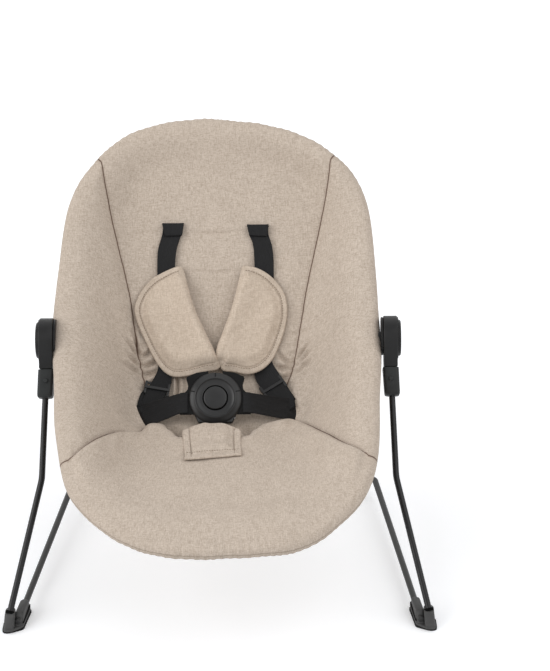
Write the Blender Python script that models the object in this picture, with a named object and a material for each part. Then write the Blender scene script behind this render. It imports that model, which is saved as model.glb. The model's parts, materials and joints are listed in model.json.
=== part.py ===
"""Newborn bouncer seat: a padded fabric seat in a bent hoop, carried by adapters that plug into a sprung wire frame.

Sizes are in millimetres times MM, so the model itself is in metres. All pieces are worked out in the hub frame, whose
origin is the middle of the recline axis, with X to the side, Y to the rear and Z up. An empty then stands the whole
object on the floor.
"""
import math

import bmesh
import bpy
import numpy as np
from mathutils import Vector

MM = 0.001

# Clearances
FIT = 0.3 * MM
RUNNING = 0.4 * MM

# Stance of the frame
HUB_HEIGHT = 300 * MM
LEG_LEAN = math.radians(36)

# Wire rods
ROD_RADIUS = 4 * MM
ROD_SIDES = 8
LEG_ROD_TOP = 62 * MM
LEG_BEND = 176 * MM
LEG_BEND_RADIUS = 60 * MM
LEG_BEND_X = 222.5 * MM
LEG_END_X = 265 * MM
LEG_END_HEIGHT = 10 * MM
FLOOR_ROD_FRONT = (251.5 * MM, -206 * MM)
FLOOR_ROD_FRONT_HEIGHT = 11.5 * MM
REAR_CORNER = (203 * MM, 108 * MM)
REAR_CORNER_HEIGHT = 28 * MM
REAR_DROP = (176 * MM, 112 * MM)
REAR_BEND_RADIUS = 11 * MM

# Front feet
FOOT_PAD_THICKNESS = 2.5 * MM
FOOT_WALL = 3.2 * MM
TOE_HEIGHT = 25 * MM
TOE_LENGTH = 27 * MM
LOBE_LENGTH = 47 * MM
LOBE_HEIGHT = 19 * MM
FOOT_SOLE = 2.5 * MM
FOOT_PAD_INSET = 1.2 * MM
BOUNCE_SWING = math.radians(3)
FOOT_SLOT = (3 * MM, 17 * MM)

# Rear sleeves
SLEEVE_RADIUS = 8.5 * MM
SLEEVE_LENGTH = 55 * MM
SLEEVE_X = 95 * MM
SLEEVE_SIDES = 16

# Leg sockets and the adapter tongues in them
ADAPTER_X = 217.15 * MM
SOCKET_TOP = 38.3 * MM
SOCKET_BOTTOM = 74 * MM
SOCKET_HALF = (9.4 * MM, 13 * MM)
SOCKET_TAPER = 0.9
SOCKET_CORNER = 5 * MM
TONGUE_HALF = (6.4 * MM, 8.6 * MM)
TONGUE_END = 59 * MM
LEG_PIN_RADIUS = 1.5 * MM
LEG_PIN_AT = 67.5 * MM
CATCH_RADIUS = 3 * MM
CATCH_AT = 53 * MM
CATCH_PROUD = 2 * MM

# Recline hub
DRUM_RADIUS = 28 * MM
DRUM_INNER_X = 208.3 * MM
DRUM_OUTER_X = 226 * MM
DRUM_FLOOR = 4 * MM
CAVITY_RADIUS = 23.4 * MM
NECK_HALF = 22 * MM
AXLE_RADIUS = 8 * MM
AXLE_END_X = 219 * MM
HUB_DISC_RADIUS = 22 * MM
HUB_DISC_INNER_X = 205.5 * MM
LOCK_DISC_RADIUS = 19 * MM
LOCK_DISC_TEETH = 12
LOCK_DISC_THICKNESS = 3 * MM
BUTTON_OUTER_X = DRUM_OUTER_X + 4.5 * MM
BUTTON_PLATE = 2.5 * MM
BUTTON_SKIRT = 6 * MM
BUTTON_WALL = 2.2 * MM
BUTTON_SPRING_RADIUS = 12 * MM
BUTTON_SPRING_WIRE = 0.7 * MM
BUTTON_SPRING_TURNS = 3
BOLT_RADIUS = 2.5 * MM
BOLT_HEAD_RADIUS = 5.5 * MM
BOLT_HEAD = 2.5 * MM
BOLT_DEPTH_IN_HOOP = 5 * MM

# Seat outline, as half width against the place along the rim's side curve (front negative), outer fabric edge
SEAT_OUTLINE = (
    (0, 265), (90, 255), (128, 241), (180, 195), (201, 99), (205, 8), (203, -76),
    (190, -186), (176, -220), (149, -255), (120, -279), (83, -297), (0, -306),
)
RIM_RISE = 0.5789
RIM_CURVE = 0.493 / 1000
# Depth of the seat's middle line under the rim's side curve, along the seat
SEAT_DEPTH = (
    (-306, -11), (-280, -17), (-230, -3), (-160, 22), (-100, 58), (-60, 84), (-20, 88),
    (30, 67), (100, 44), (160, 27), (210, 9), (250, -10), (265, -11),
)
# Share of the half width that stays in the seat's flat middle, along the seat
SEAT_FLAT = ((-306, 0.78), (-200, 0.62), (-60, 0.42), (60, 0.45), (160, 0.62), (265, 0.8))
CREASE_Y = -60
SPINE_TOP_Y = 140
HOOP_RADIUS = 8 * MM
HOOP_SIDES = 8
RIM_ROLL = 11 * MM
PAD_THICKNESS = 18 * MM
RIM_STATIONS = 48
FRONT_RINGS = (0.22, 0.42, 0.59, 0.75, 0.89, 1.0)
BACK_RINGS = (0.9, 0.72, 0.48, 0.2)
# Seams, as places on the seat's surface for the left side
WING_SEAM = ((150, 222), (136, 160), (112, 72), (102, 20), (97, 0), (91, -16))
FRONT_SEAM = ((190, -172), (160, -145), (140, -116), (118, -95), (90, -84), (0, -80))
SEAM_HALF_WIDTH = 24
SEAM_DEPTH = 5 * MM

# Harness webbing; places are (x, y) on the seat with a height over it, for the right side
WEB_WIDTH = 26 * MM
WEB_THICKNESS = 1.6 * MM
SLOT_THICKNESS = 5 * MM
SHOULDER_SLOT = (57, 155)
WAIST_SLOT = (101, -48)
CROTCH_SLOT = (0, -140)
UNDER_SEAT = -26.5
WAIST_STRAP_RISE = 7 * MM
KEEPER = (17 * MM, 10 * MM, 1.5 * MM)
KEEPER_HEIGHT = -23 * MM
SHOULDER_RUN = ((61, 128, 4.5), (64, 104, 10), (64, 60, 13), (63, 16, 14), (66, 0, 12))
SHOULDER_END = ((0.47, 19 * MM), (0.62, 1 * MM))
WAIST_TWIST_END = 0.8
ADJUSTER_HALF = (16.5 * MM, 9.5 * MM, 1.2 * MM)
ADJUSTER_BAR = 1.4 * MM

# Shoulder pad: edges nearer to and further from the middle of the seat, with the lift and thickness at each row
PAD_ROWS = (
    ((37, 105), (60, 105), 1.5, 0.45), ((35, 98), (76, 96), 0.5, 0.8), ((29, 78), (97, 77), 0, 1),
    ((20, 54), (100, 58), 0, 1), ((11, 34), (94, 38), 0.5, 1), ((5, 18), (84, 22), 2, 1),
    ((2.5, 5), (73, 6), 4, 0.95), ((9, -3), (56, -7), 6.5, 0.5),
)
PAD_SECTION = (
    (0, 9), (0.05, 15), (0.2, 19.5), (0.5, 20), (0.8, 15.5), (0.95, 10), (1, 6.5), (0.96, 3.5), (0.6, 2.5),
    (0.2, 2.5), (0.03, 4),
)
CHANNEL_ROOM = 0.5 * MM

# Crotch pad, as half widths along the seat
CROTCH_PAD_ROWS = ((-82, 24, 0.55), (-90, 36, 0.9), (-116, 36, 1), (-142, 35, 0.9), (-151, 33, 0.5))
CROTCH_PAD_SECTION = (
    (-1, 6), (-0.85, 11.5), (-0.4, 13.5), (0.4, 13.5), (0.85, 11.5), (1, 6), (0.9, 2), (0.3, 1.2), (-0.3, 1.2),
    (-0.9, 2),
)
CROTCH_STRAP_HEIGHT = 7

# Buckle; its own directions are x to the side, u up its face and n out of its face
BUCKLE_CENTRE = (0.0, -19 * MM, -76 * MM)
BUCKLE_TILT = math.radians(42)
BUCKLE_RADIUS = 33.5 * MM
BUCKLE_BACK = -7.5 * MM
BUCKLE_FRONT = 7.5 * MM
BUCKLE_BASE = (22.5 * MM, -BUCKLE_RADIUS, -16 * MM)
BUCKLE_WELL = (15.4 * MM, -5 * MM)
BUCKLE_BUTTON_RADIUS = 15 * MM
BUCKLE_BUTTON = (0.5 * MM, 7.8 * MM)
BUCKLE_SPRING_RADIUS = 6 * MM
TONGUE_HALF_THICKNESS = 1.5 * MM
TONGUE_TIP_X = 19 * MM
TONGUE_TIP_HALF = 11 * MM
# The rest of the tongue, with x counted from the buckle's edge
TONGUE_OUTLINE = (
    (0.3, -11), (2.5, -22), (14.5, -22), (14.5, 10), (9.5, 15), (5, 30), (-6, 31), (-8, 25), (-2.5, 17.5), (0.3, 11),
)
TONGUE_SLOT = ((4.5, 9.5), (-19.6, 7.6))
TONGUE_BAR_X = BUCKLE_RADIUS + 12 * MM
TONGUE_STRAP_U = -6 * MM
CROTCH_PIN = (8.5 * MM - BUCKLE_RADIUS, -0.5 * MM, 1.2 * MM)

COLOURS = {
    "fabric": ((0.565, 0.455, 0.352), 0.9, 0.0),
    "webbing": ((0.013, 0.013, 0.014), 0.8, 0.0),
    "plastic": ((0.02, 0.02, 0.021), 0.45, 0.0),
    "rod": ((0.018, 0.018, 0.019), 0.35, 0.3),
    "rubber": ((0.03, 0.03, 0.031), 0.85, 0.0),
    "steel": ((0.55, 0.55, 0.56), 0.3, 1.0),
}


def clear_scene():
    for item in list(bpy.data.objects):
        bpy.data.objects.remove(item)


def material(kind):
    found = bpy.data.materials.get(kind)
    if found:
        return found
    colour, roughness, metallic = COLOURS[kind]
    made = bpy.data.materials.new(kind)
    made.use_nodes = True
    shader = made.node_tree.nodes["Principled BSDF"]
    shader.inputs["Base Color"].default_value = (*colour, 1)
    shader.inputs["Roughness"].default_value = roughness
    shader.inputs["Metallic"].default_value = metallic
    made.diffuse_color = (*colour, 1)
    return made


def add_object(name, points, faces, kind, origin=(0, 0, 0)):
    """A mesh object whose own origin is at the given point of the hub frame."""
    origin = np.array(origin, float)
    mesh = bpy.data.meshes.new(name)
    mesh.from_pydata([tuple(np.array(p) - origin) for p in points], [], faces)
    work = bmesh.new()
    work.from_mesh(mesh)
    bmesh.ops.recalc_face_normals(work, faces=work.faces)
    work.to_mesh(mesh)
    work.free()
    mesh.shade_smooth()
    mesh.set_sharp_from_angle(angle=math.radians(40))
    mesh.materials.append(material(kind))
    made = bpy.data.objects.new(name, mesh)
    made.location = origin
    bpy.context.scene.collection.objects.link(made)
    return made


def cutter(name, points, faces):
    made = add_object(name, points, faces, "steel")
    made.hide_render = True
    made.display_type = "WIRE"
    return made


def combine(target, other, operation="DIFFERENCE"):
    """A Boolean of two meshes, applied, after which the other one is gone."""
    step = target.modifiers.new("boolean", "BOOLEAN")
    step.operation = operation
    step.solver = "EXACT"
    step.object = other
    bpy.context.view_layer.update()
    graph = bpy.context.evaluated_depsgraph_get()
    result = bpy.data.meshes.new_from_object(target.evaluated_get(graph))
    kind = target.data.materials[0]
    target.modifiers.clear()
    target.data = result
    target.data.materials.clear()
    target.data.materials.append(kind)
    target.data.set_sharp_from_angle(angle=math.radians(40))
    bpy.data.objects.remove(other)


def loft(rings, closed_path=False, caps=True):
    """Points and faces of a skin through rings that all have the same number of points."""
    rings = [np.array(ring, float) for ring in rings]
    count = len(rings[0])
    points = np.vstack(rings)
    faces = []
    last = len(rings) if closed_path else len(rings) - 1
    for i in range(last):
        a = i * count
        b = (i + 1) % len(rings) * count
        for j in range(count):
            k = (j + 1) % count
            faces.append((a + j, a + k, b + k, b + j))
    if caps and not closed_path:
        faces.append(tuple(range(count))[::-1])
        faces.append(tuple((len(rings) - 1) * count + j for j in range(count)))
    return points, faces


def circle(radius, sides, phase=0.0):
    turns = (np.arange(sides) + phase) * 2 * math.pi / sides
    return np.stack([radius * np.cos(turns), radius * np.sin(turns)], 1)


def in_plane(outline, centre, across, up):
    """The points of a flat outline, laid out along two directions from a centre."""
    outline = np.array(outline, float)
    return np.array(centre) + outline[:, :1] * np.array(across) + outline[:, 1:] * np.array(up)


def unit(vector):
    vector = np.array(vector, float)
    return vector / np.linalg.norm(vector)


def cylinder(start, end, radius_start, radius_end=None, sides=24):
    """Points and faces of a cylinder or cone between two points."""
    radius_end = radius_start if radius_end is None else radius_end
    along = unit(np.array(end) - np.array(start))
    across = unit(np.cross(along, (0.0, 1.0, 0.0) if abs(along[1]) < 0.9 else (0.0, 0.0, 1.0)))
    up = np.cross(along, across)
    return loft([
        in_plane(circle(radius_start, sides, 0.5), start, across, up),
        in_plane(circle(radius_end, sides, 0.5), end, across, up),
    ])


def turned(profile, centre, axis, across, sides):
    """A solid turned about an axis, from (distance along, radius) pairs that run round its section."""
    axis = unit(axis)
    across = unit(across)
    up = np.cross(axis, across)
    centre = np.array(centre, float)
    rings = []
    for turn in np.arange(sides) * 2 * math.pi / sides:
        out = math.cos(turn) * across + math.sin(turn) * up
        rings.append([centre + along * axis + radius * out for along, radius in profile])
    return loft(rings, closed_path=True)


def rounded_box_outline(half_across, half_up, corner, steps=3):
    """An outline with round corners."""
    corner = min(corner, half_across * 0.95, half_up * 0.95)
    outline = []
    for quarter, (sx, sy) in enumerate(((1, 1), (-1, 1), (-1, -1), (1, -1))):
        for step in range(steps + 1):
            turn = (quarter + step / steps) * math.pi / 2
            outline.append((
                sx * (half_across - corner) + corner * math.cos(turn),
                sy * (half_up - corner) + corner * math.sin(turn),
            ))
    return outline


def block(centre, axes, halves):
    """A plain box along three directions."""
    across, up, along = (unit(axis) for axis in axes)
    outline = [(halves[0], halves[1]), (-halves[0], halves[1]), (-halves[0], -halves[1]), (halves[0], -halves[1])]
    centre = np.array(centre, float)
    return loft([
        in_plane(outline, centre - halves[2] * along, across, up),
        in_plane(outline, centre + halves[2] * along, across, up),
    ])


def hull(outline):
    """The convex outline round some flat points."""
    points = sorted({(round(float(a), 7), round(float(b), 7)) for a, b in outline})

    def chain(ordered):
        found = []
        for point in ordered:
            while len(found) > 1:
                (ax, ay), (bx, by) = found[-2:]
                if (bx - ax) * (point[1] - ay) - (by - ay) * (point[0] - ax) > 0:
                    break
                found.pop()
            found.append(point)
        return found[:-1]

    return chain(points) + chain(points[::-1])


def rounded_path(corners, radii, arc_step=math.radians(17), owners=False):
    """Corner points joined by straight runs, with an arc of the given radius at each inner corner."""
    corners = [np.array(corner, float) for corner in corners]
    path = [corners[0]]
    whose = [0]
    for number, (before, corner, after, radius) in enumerate(zip(corners, corners[1:], corners[2:], radii), 1):
        back = unit(before - corner)
        ahead = unit(after - corner)
        half = math.acos(max(-1.0, min(1.0, float(back @ ahead)))) / 2
        if half > math.radians(88):
            path.append(corner)
            whose.append(number)
            continue
        room = 0.48 * min(np.linalg.norm(before - corner), np.linalg.norm(after - corner))
        reach = min(radius / math.tan(half), room)
        radius = reach * math.tan(half)
        steps = max(1, math.ceil((math.pi - 2 * half) / arc_step))
        middle = corner + unit(back + ahead) * radius / math.sin(half)
        start = corner + back * reach
        end = corner + ahead * reach
        for step in range(steps + 1):
            share = step / steps
            point = start * (1 - share) + end * share
            path.append(middle + unit(point - middle) * radius)
            whose.append(number)
    path.append(corners[-1])
    whose.append(len(corners) - 1)
    return (np.array(path), whose) if owners else np.array(path)


def sweep_frames(path, first_across):
    """Directions across and up at each point of a path, turning as little as they can."""
    tangents = np.gradient(path, axis=0)
    across = np.array(first_across, float)
    frames = []
    for tangent in tangents:
        tangent = unit(tangent)
        across = unit(across - (across @ tangent) * tangent)
        frames.append((across, np.cross(tangent, across)))
    return frames


def rod(name, path, radius, sides, kind, origin=(0, 0, 0), first_across=(0.31, 0.2, 0.93)):
    section = circle(radius, sides, 0.5)
    rings = [
        in_plane(section, point, across, up)
        for point, (across, up) in zip(path, sweep_frames(path, first_across))
    ]
    return add_object(name, *loft(rings), kind, origin)


def mirror_x(points):
    return np.array(points) * np.array((-1.0, 1.0, 1.0))


def coil(centre, axis, across, radius, wire, length, turns, steps=10, sides=5):
    """A round wire spring between two faces, as one open tube."""
    axis = unit(axis)
    across = unit(across)
    up = np.cross(axis, across)
    count = turns * steps
    path = []
    for step in range(count + 1):
        turn = step / steps * 2 * math.pi
        out = math.cos(turn) * across + math.sin(turn) * up
        path.append(np.array(centre) + axis * (wire + (length - 2 * wire) * step / count) + radius * out)
    path = np.array(path)
    rings = [
        in_plane(circle(wire, sides), point, a, b)
        for point, (a, b) in zip(path, sweep_frames(path, axis))
    ]
    return loft(rings)


# Smooth curves through the seat's driving points


def curve_through(points, closed):
    """A cubic curve through the points, against the distance along them."""
    points = np.array(points, float)
    ends = np.vstack([points, points[:1]]) if closed else points
    along = np.concatenate([[0], np.cumsum(np.linalg.norm(np.diff(ends, axis=0), axis=1))])
    gaps = np.diff(along)
    count = len(points)
    matrix = np.zeros((count, count))
    right = np.zeros(points.shape)
    for i in range(count):
        if not closed and i in (0, count - 1):
            matrix[i, i] = 1
            continue
        before = gaps[i - 1]
        after = gaps[i]
        following = (i + 1) % count
        matrix[i, i - 1] += before
        matrix[i, i] += 2 * (before + after)
        matrix[i, following] += after
        right[i] = 6 * ((points[following] - points[i]) / after - (points[i] - points[i - 1]) / before)
    bends = np.linalg.solve(matrix, right)

    def at(distance):
        distance = np.atleast_1d(np.asarray(distance, float))
        if closed:
            distance = distance % along[-1]
        i = np.clip(np.searchsorted(along, distance, side="right") - 1, 0, len(gaps) - 1)
        j = (i + 1) % count
        done = (distance - along[i])[:, None]
        gap = gaps[i][:, None]
        left = gap - done
        return (bends[i] * left**3 + bends[j] * done**3) / (6 * gap) \
            + (points[i] / gap - bends[i] * gap / 6) * left \
            + (points[j] / gap - bends[j] * gap / 6) * done

    return at, along[-1]


def evenly(points, count, closed):
    """Points evenly spaced along the smooth curve through some driving points."""
    at, length = curve_through(points, closed)
    fine = np.linspace(0, length, 4001)
    walked = np.concatenate([[0], np.cumsum(np.linalg.norm(np.diff(at(fine), axis=0), axis=1))])
    want = np.linspace(0, walked[-1], count, endpoint=not closed)
    return at(np.interp(want, walked, fine))


def value_along(table):
    """A smooth function through (place, value) pairs."""
    places = np.array([row[0] for row in table], float)
    values = np.array([row[1] for row in table], float)
    steps = np.diff(values) / np.diff(places)
    slopes = np.zeros(len(places))
    slopes[0], slopes[-1] = steps[0], steps[-1]
    gaps = np.diff(places)
    slopes[1:-1] = (steps[:-1] * gaps[1:] + steps[1:] * gaps[:-1]) / (gaps[1:] + gaps[:-1])

    def at(place):
        place = np.clip(np.asarray(place, float), places[0], places[-1])
        i = np.clip(np.searchsorted(places, place, side="right") - 1, 0, len(gaps) - 1)
        gap = gaps[i]
        t = (place - places[i]) / gap
        return values[i] * (2 * t**3 - 3 * t**2 + 1) + slopes[i] * gap * (t**3 - 2 * t**2 + t) \
            + values[i + 1] * (3 * t**2 - 2 * t**3) + slopes[i + 1] * gap * (t**3 - t**2)

    return at


# Seat surface. A place on the seat is (x, y): x across, y along the rim's side curve, both in millimetres

depth_at = value_along(SEAT_DEPTH)
flat_at = value_along(SEAT_FLAT)


def rim_z(y):
    return RIM_RISE * y + RIM_CURVE * y * y


def rim_normal(y):
    slope = RIM_RISE + 2 * RIM_CURVE * np.asarray(y, float)
    length = np.sqrt(1 + slope * slope)
    return -slope / length, 1 / length


def full_outline():
    half = list(SEAT_OUTLINE)
    return half + [(-x, y) for x, y in half[1:-1][::-1]]


def hoop_outline(count):
    """The line of the hoop's middle, inside the outer fabric edge."""
    edge = evenly(full_outline(), count, closed=True)
    tangent = np.roll(edge, -1, 0) - np.roll(edge, 1, 0)
    tangent /= np.linalg.norm(tangent, axis=1)[:, None]
    outward = np.stack([tangent[:, 1], -tangent[:, 0]], 1)
    outward *= np.sign(((edge - edge.mean(0)) * outward).sum(1).mean())
    return edge - RIM_ROLL / MM * outward, outward


HOOP_FINE = hoop_outline(720)[0]
HOOP_HALF = HOOP_FINE[HOOP_FINE[:, 0] >= -1e-6]
HOOP_HALF = HOOP_HALF[np.argsort(HOOP_HALF[:, 1])]


def share_of_reach(x, y):
    """How far out a place lies, from 0 on the spine to 1 on the hoop."""
    x = np.abs(np.asarray(x, float))
    y = np.asarray(y, float)

    def fan(spine_y):
        angles = np.arctan2(HOOP_HALF[:, 1] - spine_y, HOOP_HALF[:, 0])
        reaches = np.hypot(HOOP_HALF[:, 0], HOOP_HALF[:, 1] - spine_y)
        order = np.argsort(angles)
        reach = np.interp(np.arctan2(y - spine_y, x), angles[order], reaches[order])
        return np.hypot(x, y - spine_y) / reach

    across = x / np.maximum(np.interp(y, HOOP_HALF[:, 1], HOOP_HALF[:, 0]), 1e-6)
    return np.where(y < CREASE_Y, fan(CREASE_Y), np.where(y > SPINE_TOP_Y, fan(SPINE_TOP_Y), across))


def distance_to_line(x, y, line):
    """Distance from places to a line of straight runs, the same on both sides of the seat."""
    here = np.stack([np.abs(x), y], -1)
    best = np.full(np.shape(x), 1e9)
    for start, end in zip(line, line[1:]):
        start = np.array(start, float)
        run = np.array(end, float) - start
        share = np.clip(((here - start) @ run) / (run @ run), 0, 1)[..., None]
        best = np.minimum(best, np.linalg.norm(here - start - share * run, axis=-1))
    return best


def seat_point(x, y, height=0.0, formed=True):
    """A point of the seat's front surface, or at a height over it, in the hub frame."""
    x = np.asarray(x, float)
    y = np.asarray(y, float)
    reach = np.clip(share_of_reach(x, y), 0, 1)
    flat = flat_at(y)
    t = np.clip((reach - flat) / (1 - flat), 0, 1)
    rise = t * t * t * (t * (6 * t - 15) + 10)
    lift = -depth_at(y) * MM * (1 - rise) + RIM_ROLL * rise + height
    if formed:
        seam = np.minimum(distance_to_line(x, y, WING_SEAM), distance_to_line(x, y, FRONT_SEAM))
        away = np.clip(seam / SEAM_HALF_WIDTH, 0, 1)
        fade = np.clip((1 - reach) / 0.08, 0, 1)
        lift = lift - fade * SEAM_DEPTH * (1 - away) ** 2
    normal_y, normal_z = rim_normal(y)
    return np.stack([
        x * MM * np.ones_like(y),
        y * MM + normal_y * lift,
        (RIM_RISE * y + RIM_CURVE * y * y) * MM + normal_z * lift,
    ], -1)


def seat_frame(x, y):
    """Directions on the seat's surface at a place: across, along and out of it."""
    step = 4.0
    across = unit(seat_point(x + step, y, formed=False) - seat_point(x - step, y, formed=False))
    along = unit(seat_point(x, y + step, formed=False) - seat_point(x, y - step, formed=False))
    out = unit(np.cross(across, along))
    return across, along, out


def over_seat(x, y, height):
    """A point at a true height over the seat's surface."""
    return seat_point(x, y, formed=False) + seat_frame(x, y)[2] * height


# Leg frame. l is measured down the leg from the hub axis, v to the leg's front


LEG_DOWN = np.array((0.0, -math.sin(LEG_LEAN), -math.cos(LEG_LEAN)))
LEG_FRONT = np.array((0.0, -math.cos(LEG_LEAN), math.sin(LEG_LEAN)))
ACROSS = np.array((1.0, 0.0, 0.0))


def leg_point(x, v, l):
    return x * ACROSS + v * LEG_FRONT + l * LEG_DOWN


def at_height(x, y, height):
    """A point given by its height over the floor."""
    return np.array((x, y, height - HUB_HEIGHT))


LEG_END = (HUB_HEIGHT - LEG_END_HEIGHT) / math.cos(LEG_LEAN)


def leg_rod_path():
    corners = [
        leg_point(ADAPTER_X, 0, LEG_ROD_TOP),
        leg_point(LEG_BEND_X, 0, LEG_BEND),
        leg_point(LEG_END_X, 0, LEG_END),
    ]
    return rounded_path(corners, [LEG_BEND_RADIUS])


def side_pair(name, make, *args):
    """Makes the right and the left piece; make takes a name and a function that turns right to left."""
    make("right_" + name, np.array, *args)
    make("left_" + name, mirror_x, *args)


# Wire frame


def floor_bar():
    sleeve_height = SLEEVE_RADIUS * math.cos(math.pi / SLEEVE_SIDES)
    half = [
        at_height(*FLOOR_ROD_FRONT, FLOOR_ROD_FRONT_HEIGHT),
        at_height(*REAR_CORNER, REAR_CORNER_HEIGHT),
        at_height(*REAR_DROP, sleeve_height),
    ]
    corners = half + [mirror_x(point) for point in half[::-1]]
    bar = rod("floor_bar", rounded_path(corners, [REAR_BEND_RADIUS] * 4), ROD_RADIUS, ROD_SIDES, "rod")
    return bar, half


def leg_rod(name, side):
    path = side(leg_rod_path())
    made = rod(name, path, ROD_RADIUS, ROD_SIDES, "rod", origin=path[-1])
    at = side([leg_point(ADAPTER_X, 20 * MM, LEG_PIN_AT), leg_point(ADAPTER_X, -20 * MM, LEG_PIN_AT)])
    combine(made, cutter("pin_hole", *cylinder(at[0], at[1], LEG_PIN_RADIUS + FIT, sides=10)))


def foot_outline():
    """The foot's print on the floor, as toe and lobe outlines round the two rod ends."""
    toe_x, toe_y, _ = leg_point(LEG_END_X, 0, LEG_END)
    lobe_x = FLOOR_ROD_FRONT[0]
    half = ROD_RADIUS + FOOT_WALL
    toe = [(toe_x + a, toe_y - 5 * MM + TOE_LENGTH / 2 + b)
           for a, b in rounded_box_outline(half, TOE_LENGTH / 2, 6 * MM)]
    front = FLOOR_ROD_FRONT[1] - FOOT_WALL
    slope = (REAR_CORNER[0] - lobe_x) / (REAR_CORNER[1] - FLOOR_ROD_FRONT[1])
    lobe = []
    for a, b in rounded_box_outline(half, LOBE_LENGTH / 2, 5 * MM):
        y = front + LOBE_LENGTH / 2 + b
        lobe.append((lobe_x + a + slope * (y - front), y))
    return toe, lobe


def foot_body(name, side):
    toe, lobe = foot_outline()
    floor = FOOT_PAD_THICKNESS + FIT
    mouth_l = (HUB_HEIGHT - TOE_HEIGHT) / math.cos(LEG_LEAN)
    rod_dir = unit(leg_point(LEG_END_X, 0, LEG_END) - leg_point(LEG_BEND_X, 0, LEG_BEND))
    mouth = leg_point(LEG_END_X, 0, LEG_END) - rod_dir * (LEG_END - mouth_l)
    half = ROD_RADIUS + FOOT_WALL
    top = []
    base_middle = np.mean(toe, axis=0)
    for x, y in toe:
        top.append((mouth[0] + (x - base_middle[0]) * 0.98, mouth[1] + (y - base_middle[1]) * 0.66))
    rings = [
        side([at_height(x, y, floor) for x, y in toe]),
        side([at_height(x, y, floor + 9 * MM) for x, y in toe]),
        side([at_height(x, y, TOE_HEIGHT) for x, y in top]),
    ]
    made = add_object(name, *loft(rings), "plastic")
    lobe_middle = np.mean(lobe, axis=0)
    lobe_top = [
        (lobe_middle[0] + (x - lobe_middle[0]) * 0.75, lobe_middle[1] + (y - lobe_middle[1]) * 0.86)
        for x, y in lobe
    ]
    lobe_rings = [
        side([at_height(x, y, floor) for x, y in lobe]),
        side([at_height(x, y, floor + 0.62 * LOBE_HEIGHT) for x, y in lobe]),
        side([at_height(x, y, floor + LOBE_HEIGHT) for x, y in lobe_top]),
    ]
    combine(made, cutter("lobe", *loft(lobe_rings)), "UNION")
    sole = hull(toe + lobe)
    combine(made, cutter("sole", *loft([
        side([at_height(x, y, floor) for x, y in sole]),
        side([at_height(x, y, floor + FOOT_SOLE) for x, y in sole]),
    ])), "UNION")

    # Leg bore, a cone that leaves room for the leg to swing as it springs
    end = leg_point(LEG_END_X, 0, LEG_END) + rod_dir * RUNNING
    reach = (LEG_END - mouth_l) + 12 * MM
    open_radius = ROD_RADIUS + RUNNING + reach * math.tan(BOUNCE_SWING) + 0.2 * MM
    ends = side([end, end - rod_dir * reach])
    combine(made, cutter("leg_bore", *cylinder(ends[0], ends[1], ROD_RADIUS + RUNNING, open_radius, 16)))

    # Floor rod bore
    front = at_height(*FLOOR_ROD_FRONT, FLOOR_ROD_FRONT_HEIGHT)
    along = unit(at_height(*REAR_CORNER, REAR_CORNER_HEIGHT) - front)
    ends = side([front - along * FIT, front + along * (LOBE_LENGTH + 10 * MM)])
    combine(made, cutter("floor_bore", *cylinder(ends[0], ends[1], ROD_RADIUS + FIT + 0.2 * MM, sides=12)))

    # Side slot between lobe and toe, on the inner side
    slot_middle = at_height(FLOOR_ROD_FRONT[0] - half, front[1] + 14 * MM, floor + 9 * MM)
    where = side([slot_middle])[0]
    tilt = unit((0, 0.8, 1))
    combine(made, cutter("side_slot", *block(
        where, (ACROSS, np.cross(tilt, ACROSS), tilt), (2.2 * MM, FOOT_SLOT[0] / 2, FOOT_SLOT[1] / 2))))
    return made


def foot_pad(name, side):
    """A rubber pad whose print lies inside the foot's own."""
    print_outline = np.array(hull(foot_outline()[0] + foot_outline()[1]))
    middle = print_outline.mean(0)
    reach = np.linalg.norm(print_outline - middle, axis=1)[:, None]
    inset = middle + (print_outline - middle) * (1 - FOOT_PAD_INSET / reach)
    add_object(name, *loft([
        side([at_height(x, y, 0) for x, y in inset]),
        side([at_height(x, y, FOOT_PAD_THICKNESS) for x, y in inset]),
    ]), "rubber")


def rear_sleeve(name, side):
    height = SLEEVE_RADIUS * math.cos(math.pi / SLEEVE_SIDES)
    centre = side([at_height(SLEEVE_X, REAR_DROP[1], height)])[0]
    inner = ROD_RADIUS + FIT
    start = centre - ACROSS * SLEEVE_LENGTH / 2
    end = centre + ACROSS * SLEEVE_LENGTH / 2
    points, faces = loft([
        in_plane(circle(radius, SLEEVE_SIDES, 0.5), point, (0, 1, 0), (0, 0, 1))
        for point, radius in ((start, inner), (start, SLEEVE_RADIUS), (end, SLEEVE_RADIUS), (end, inner))
    ], closed_path=True)
    add_object(name, points, faces, "rubber")


# Leg sockets


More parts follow.
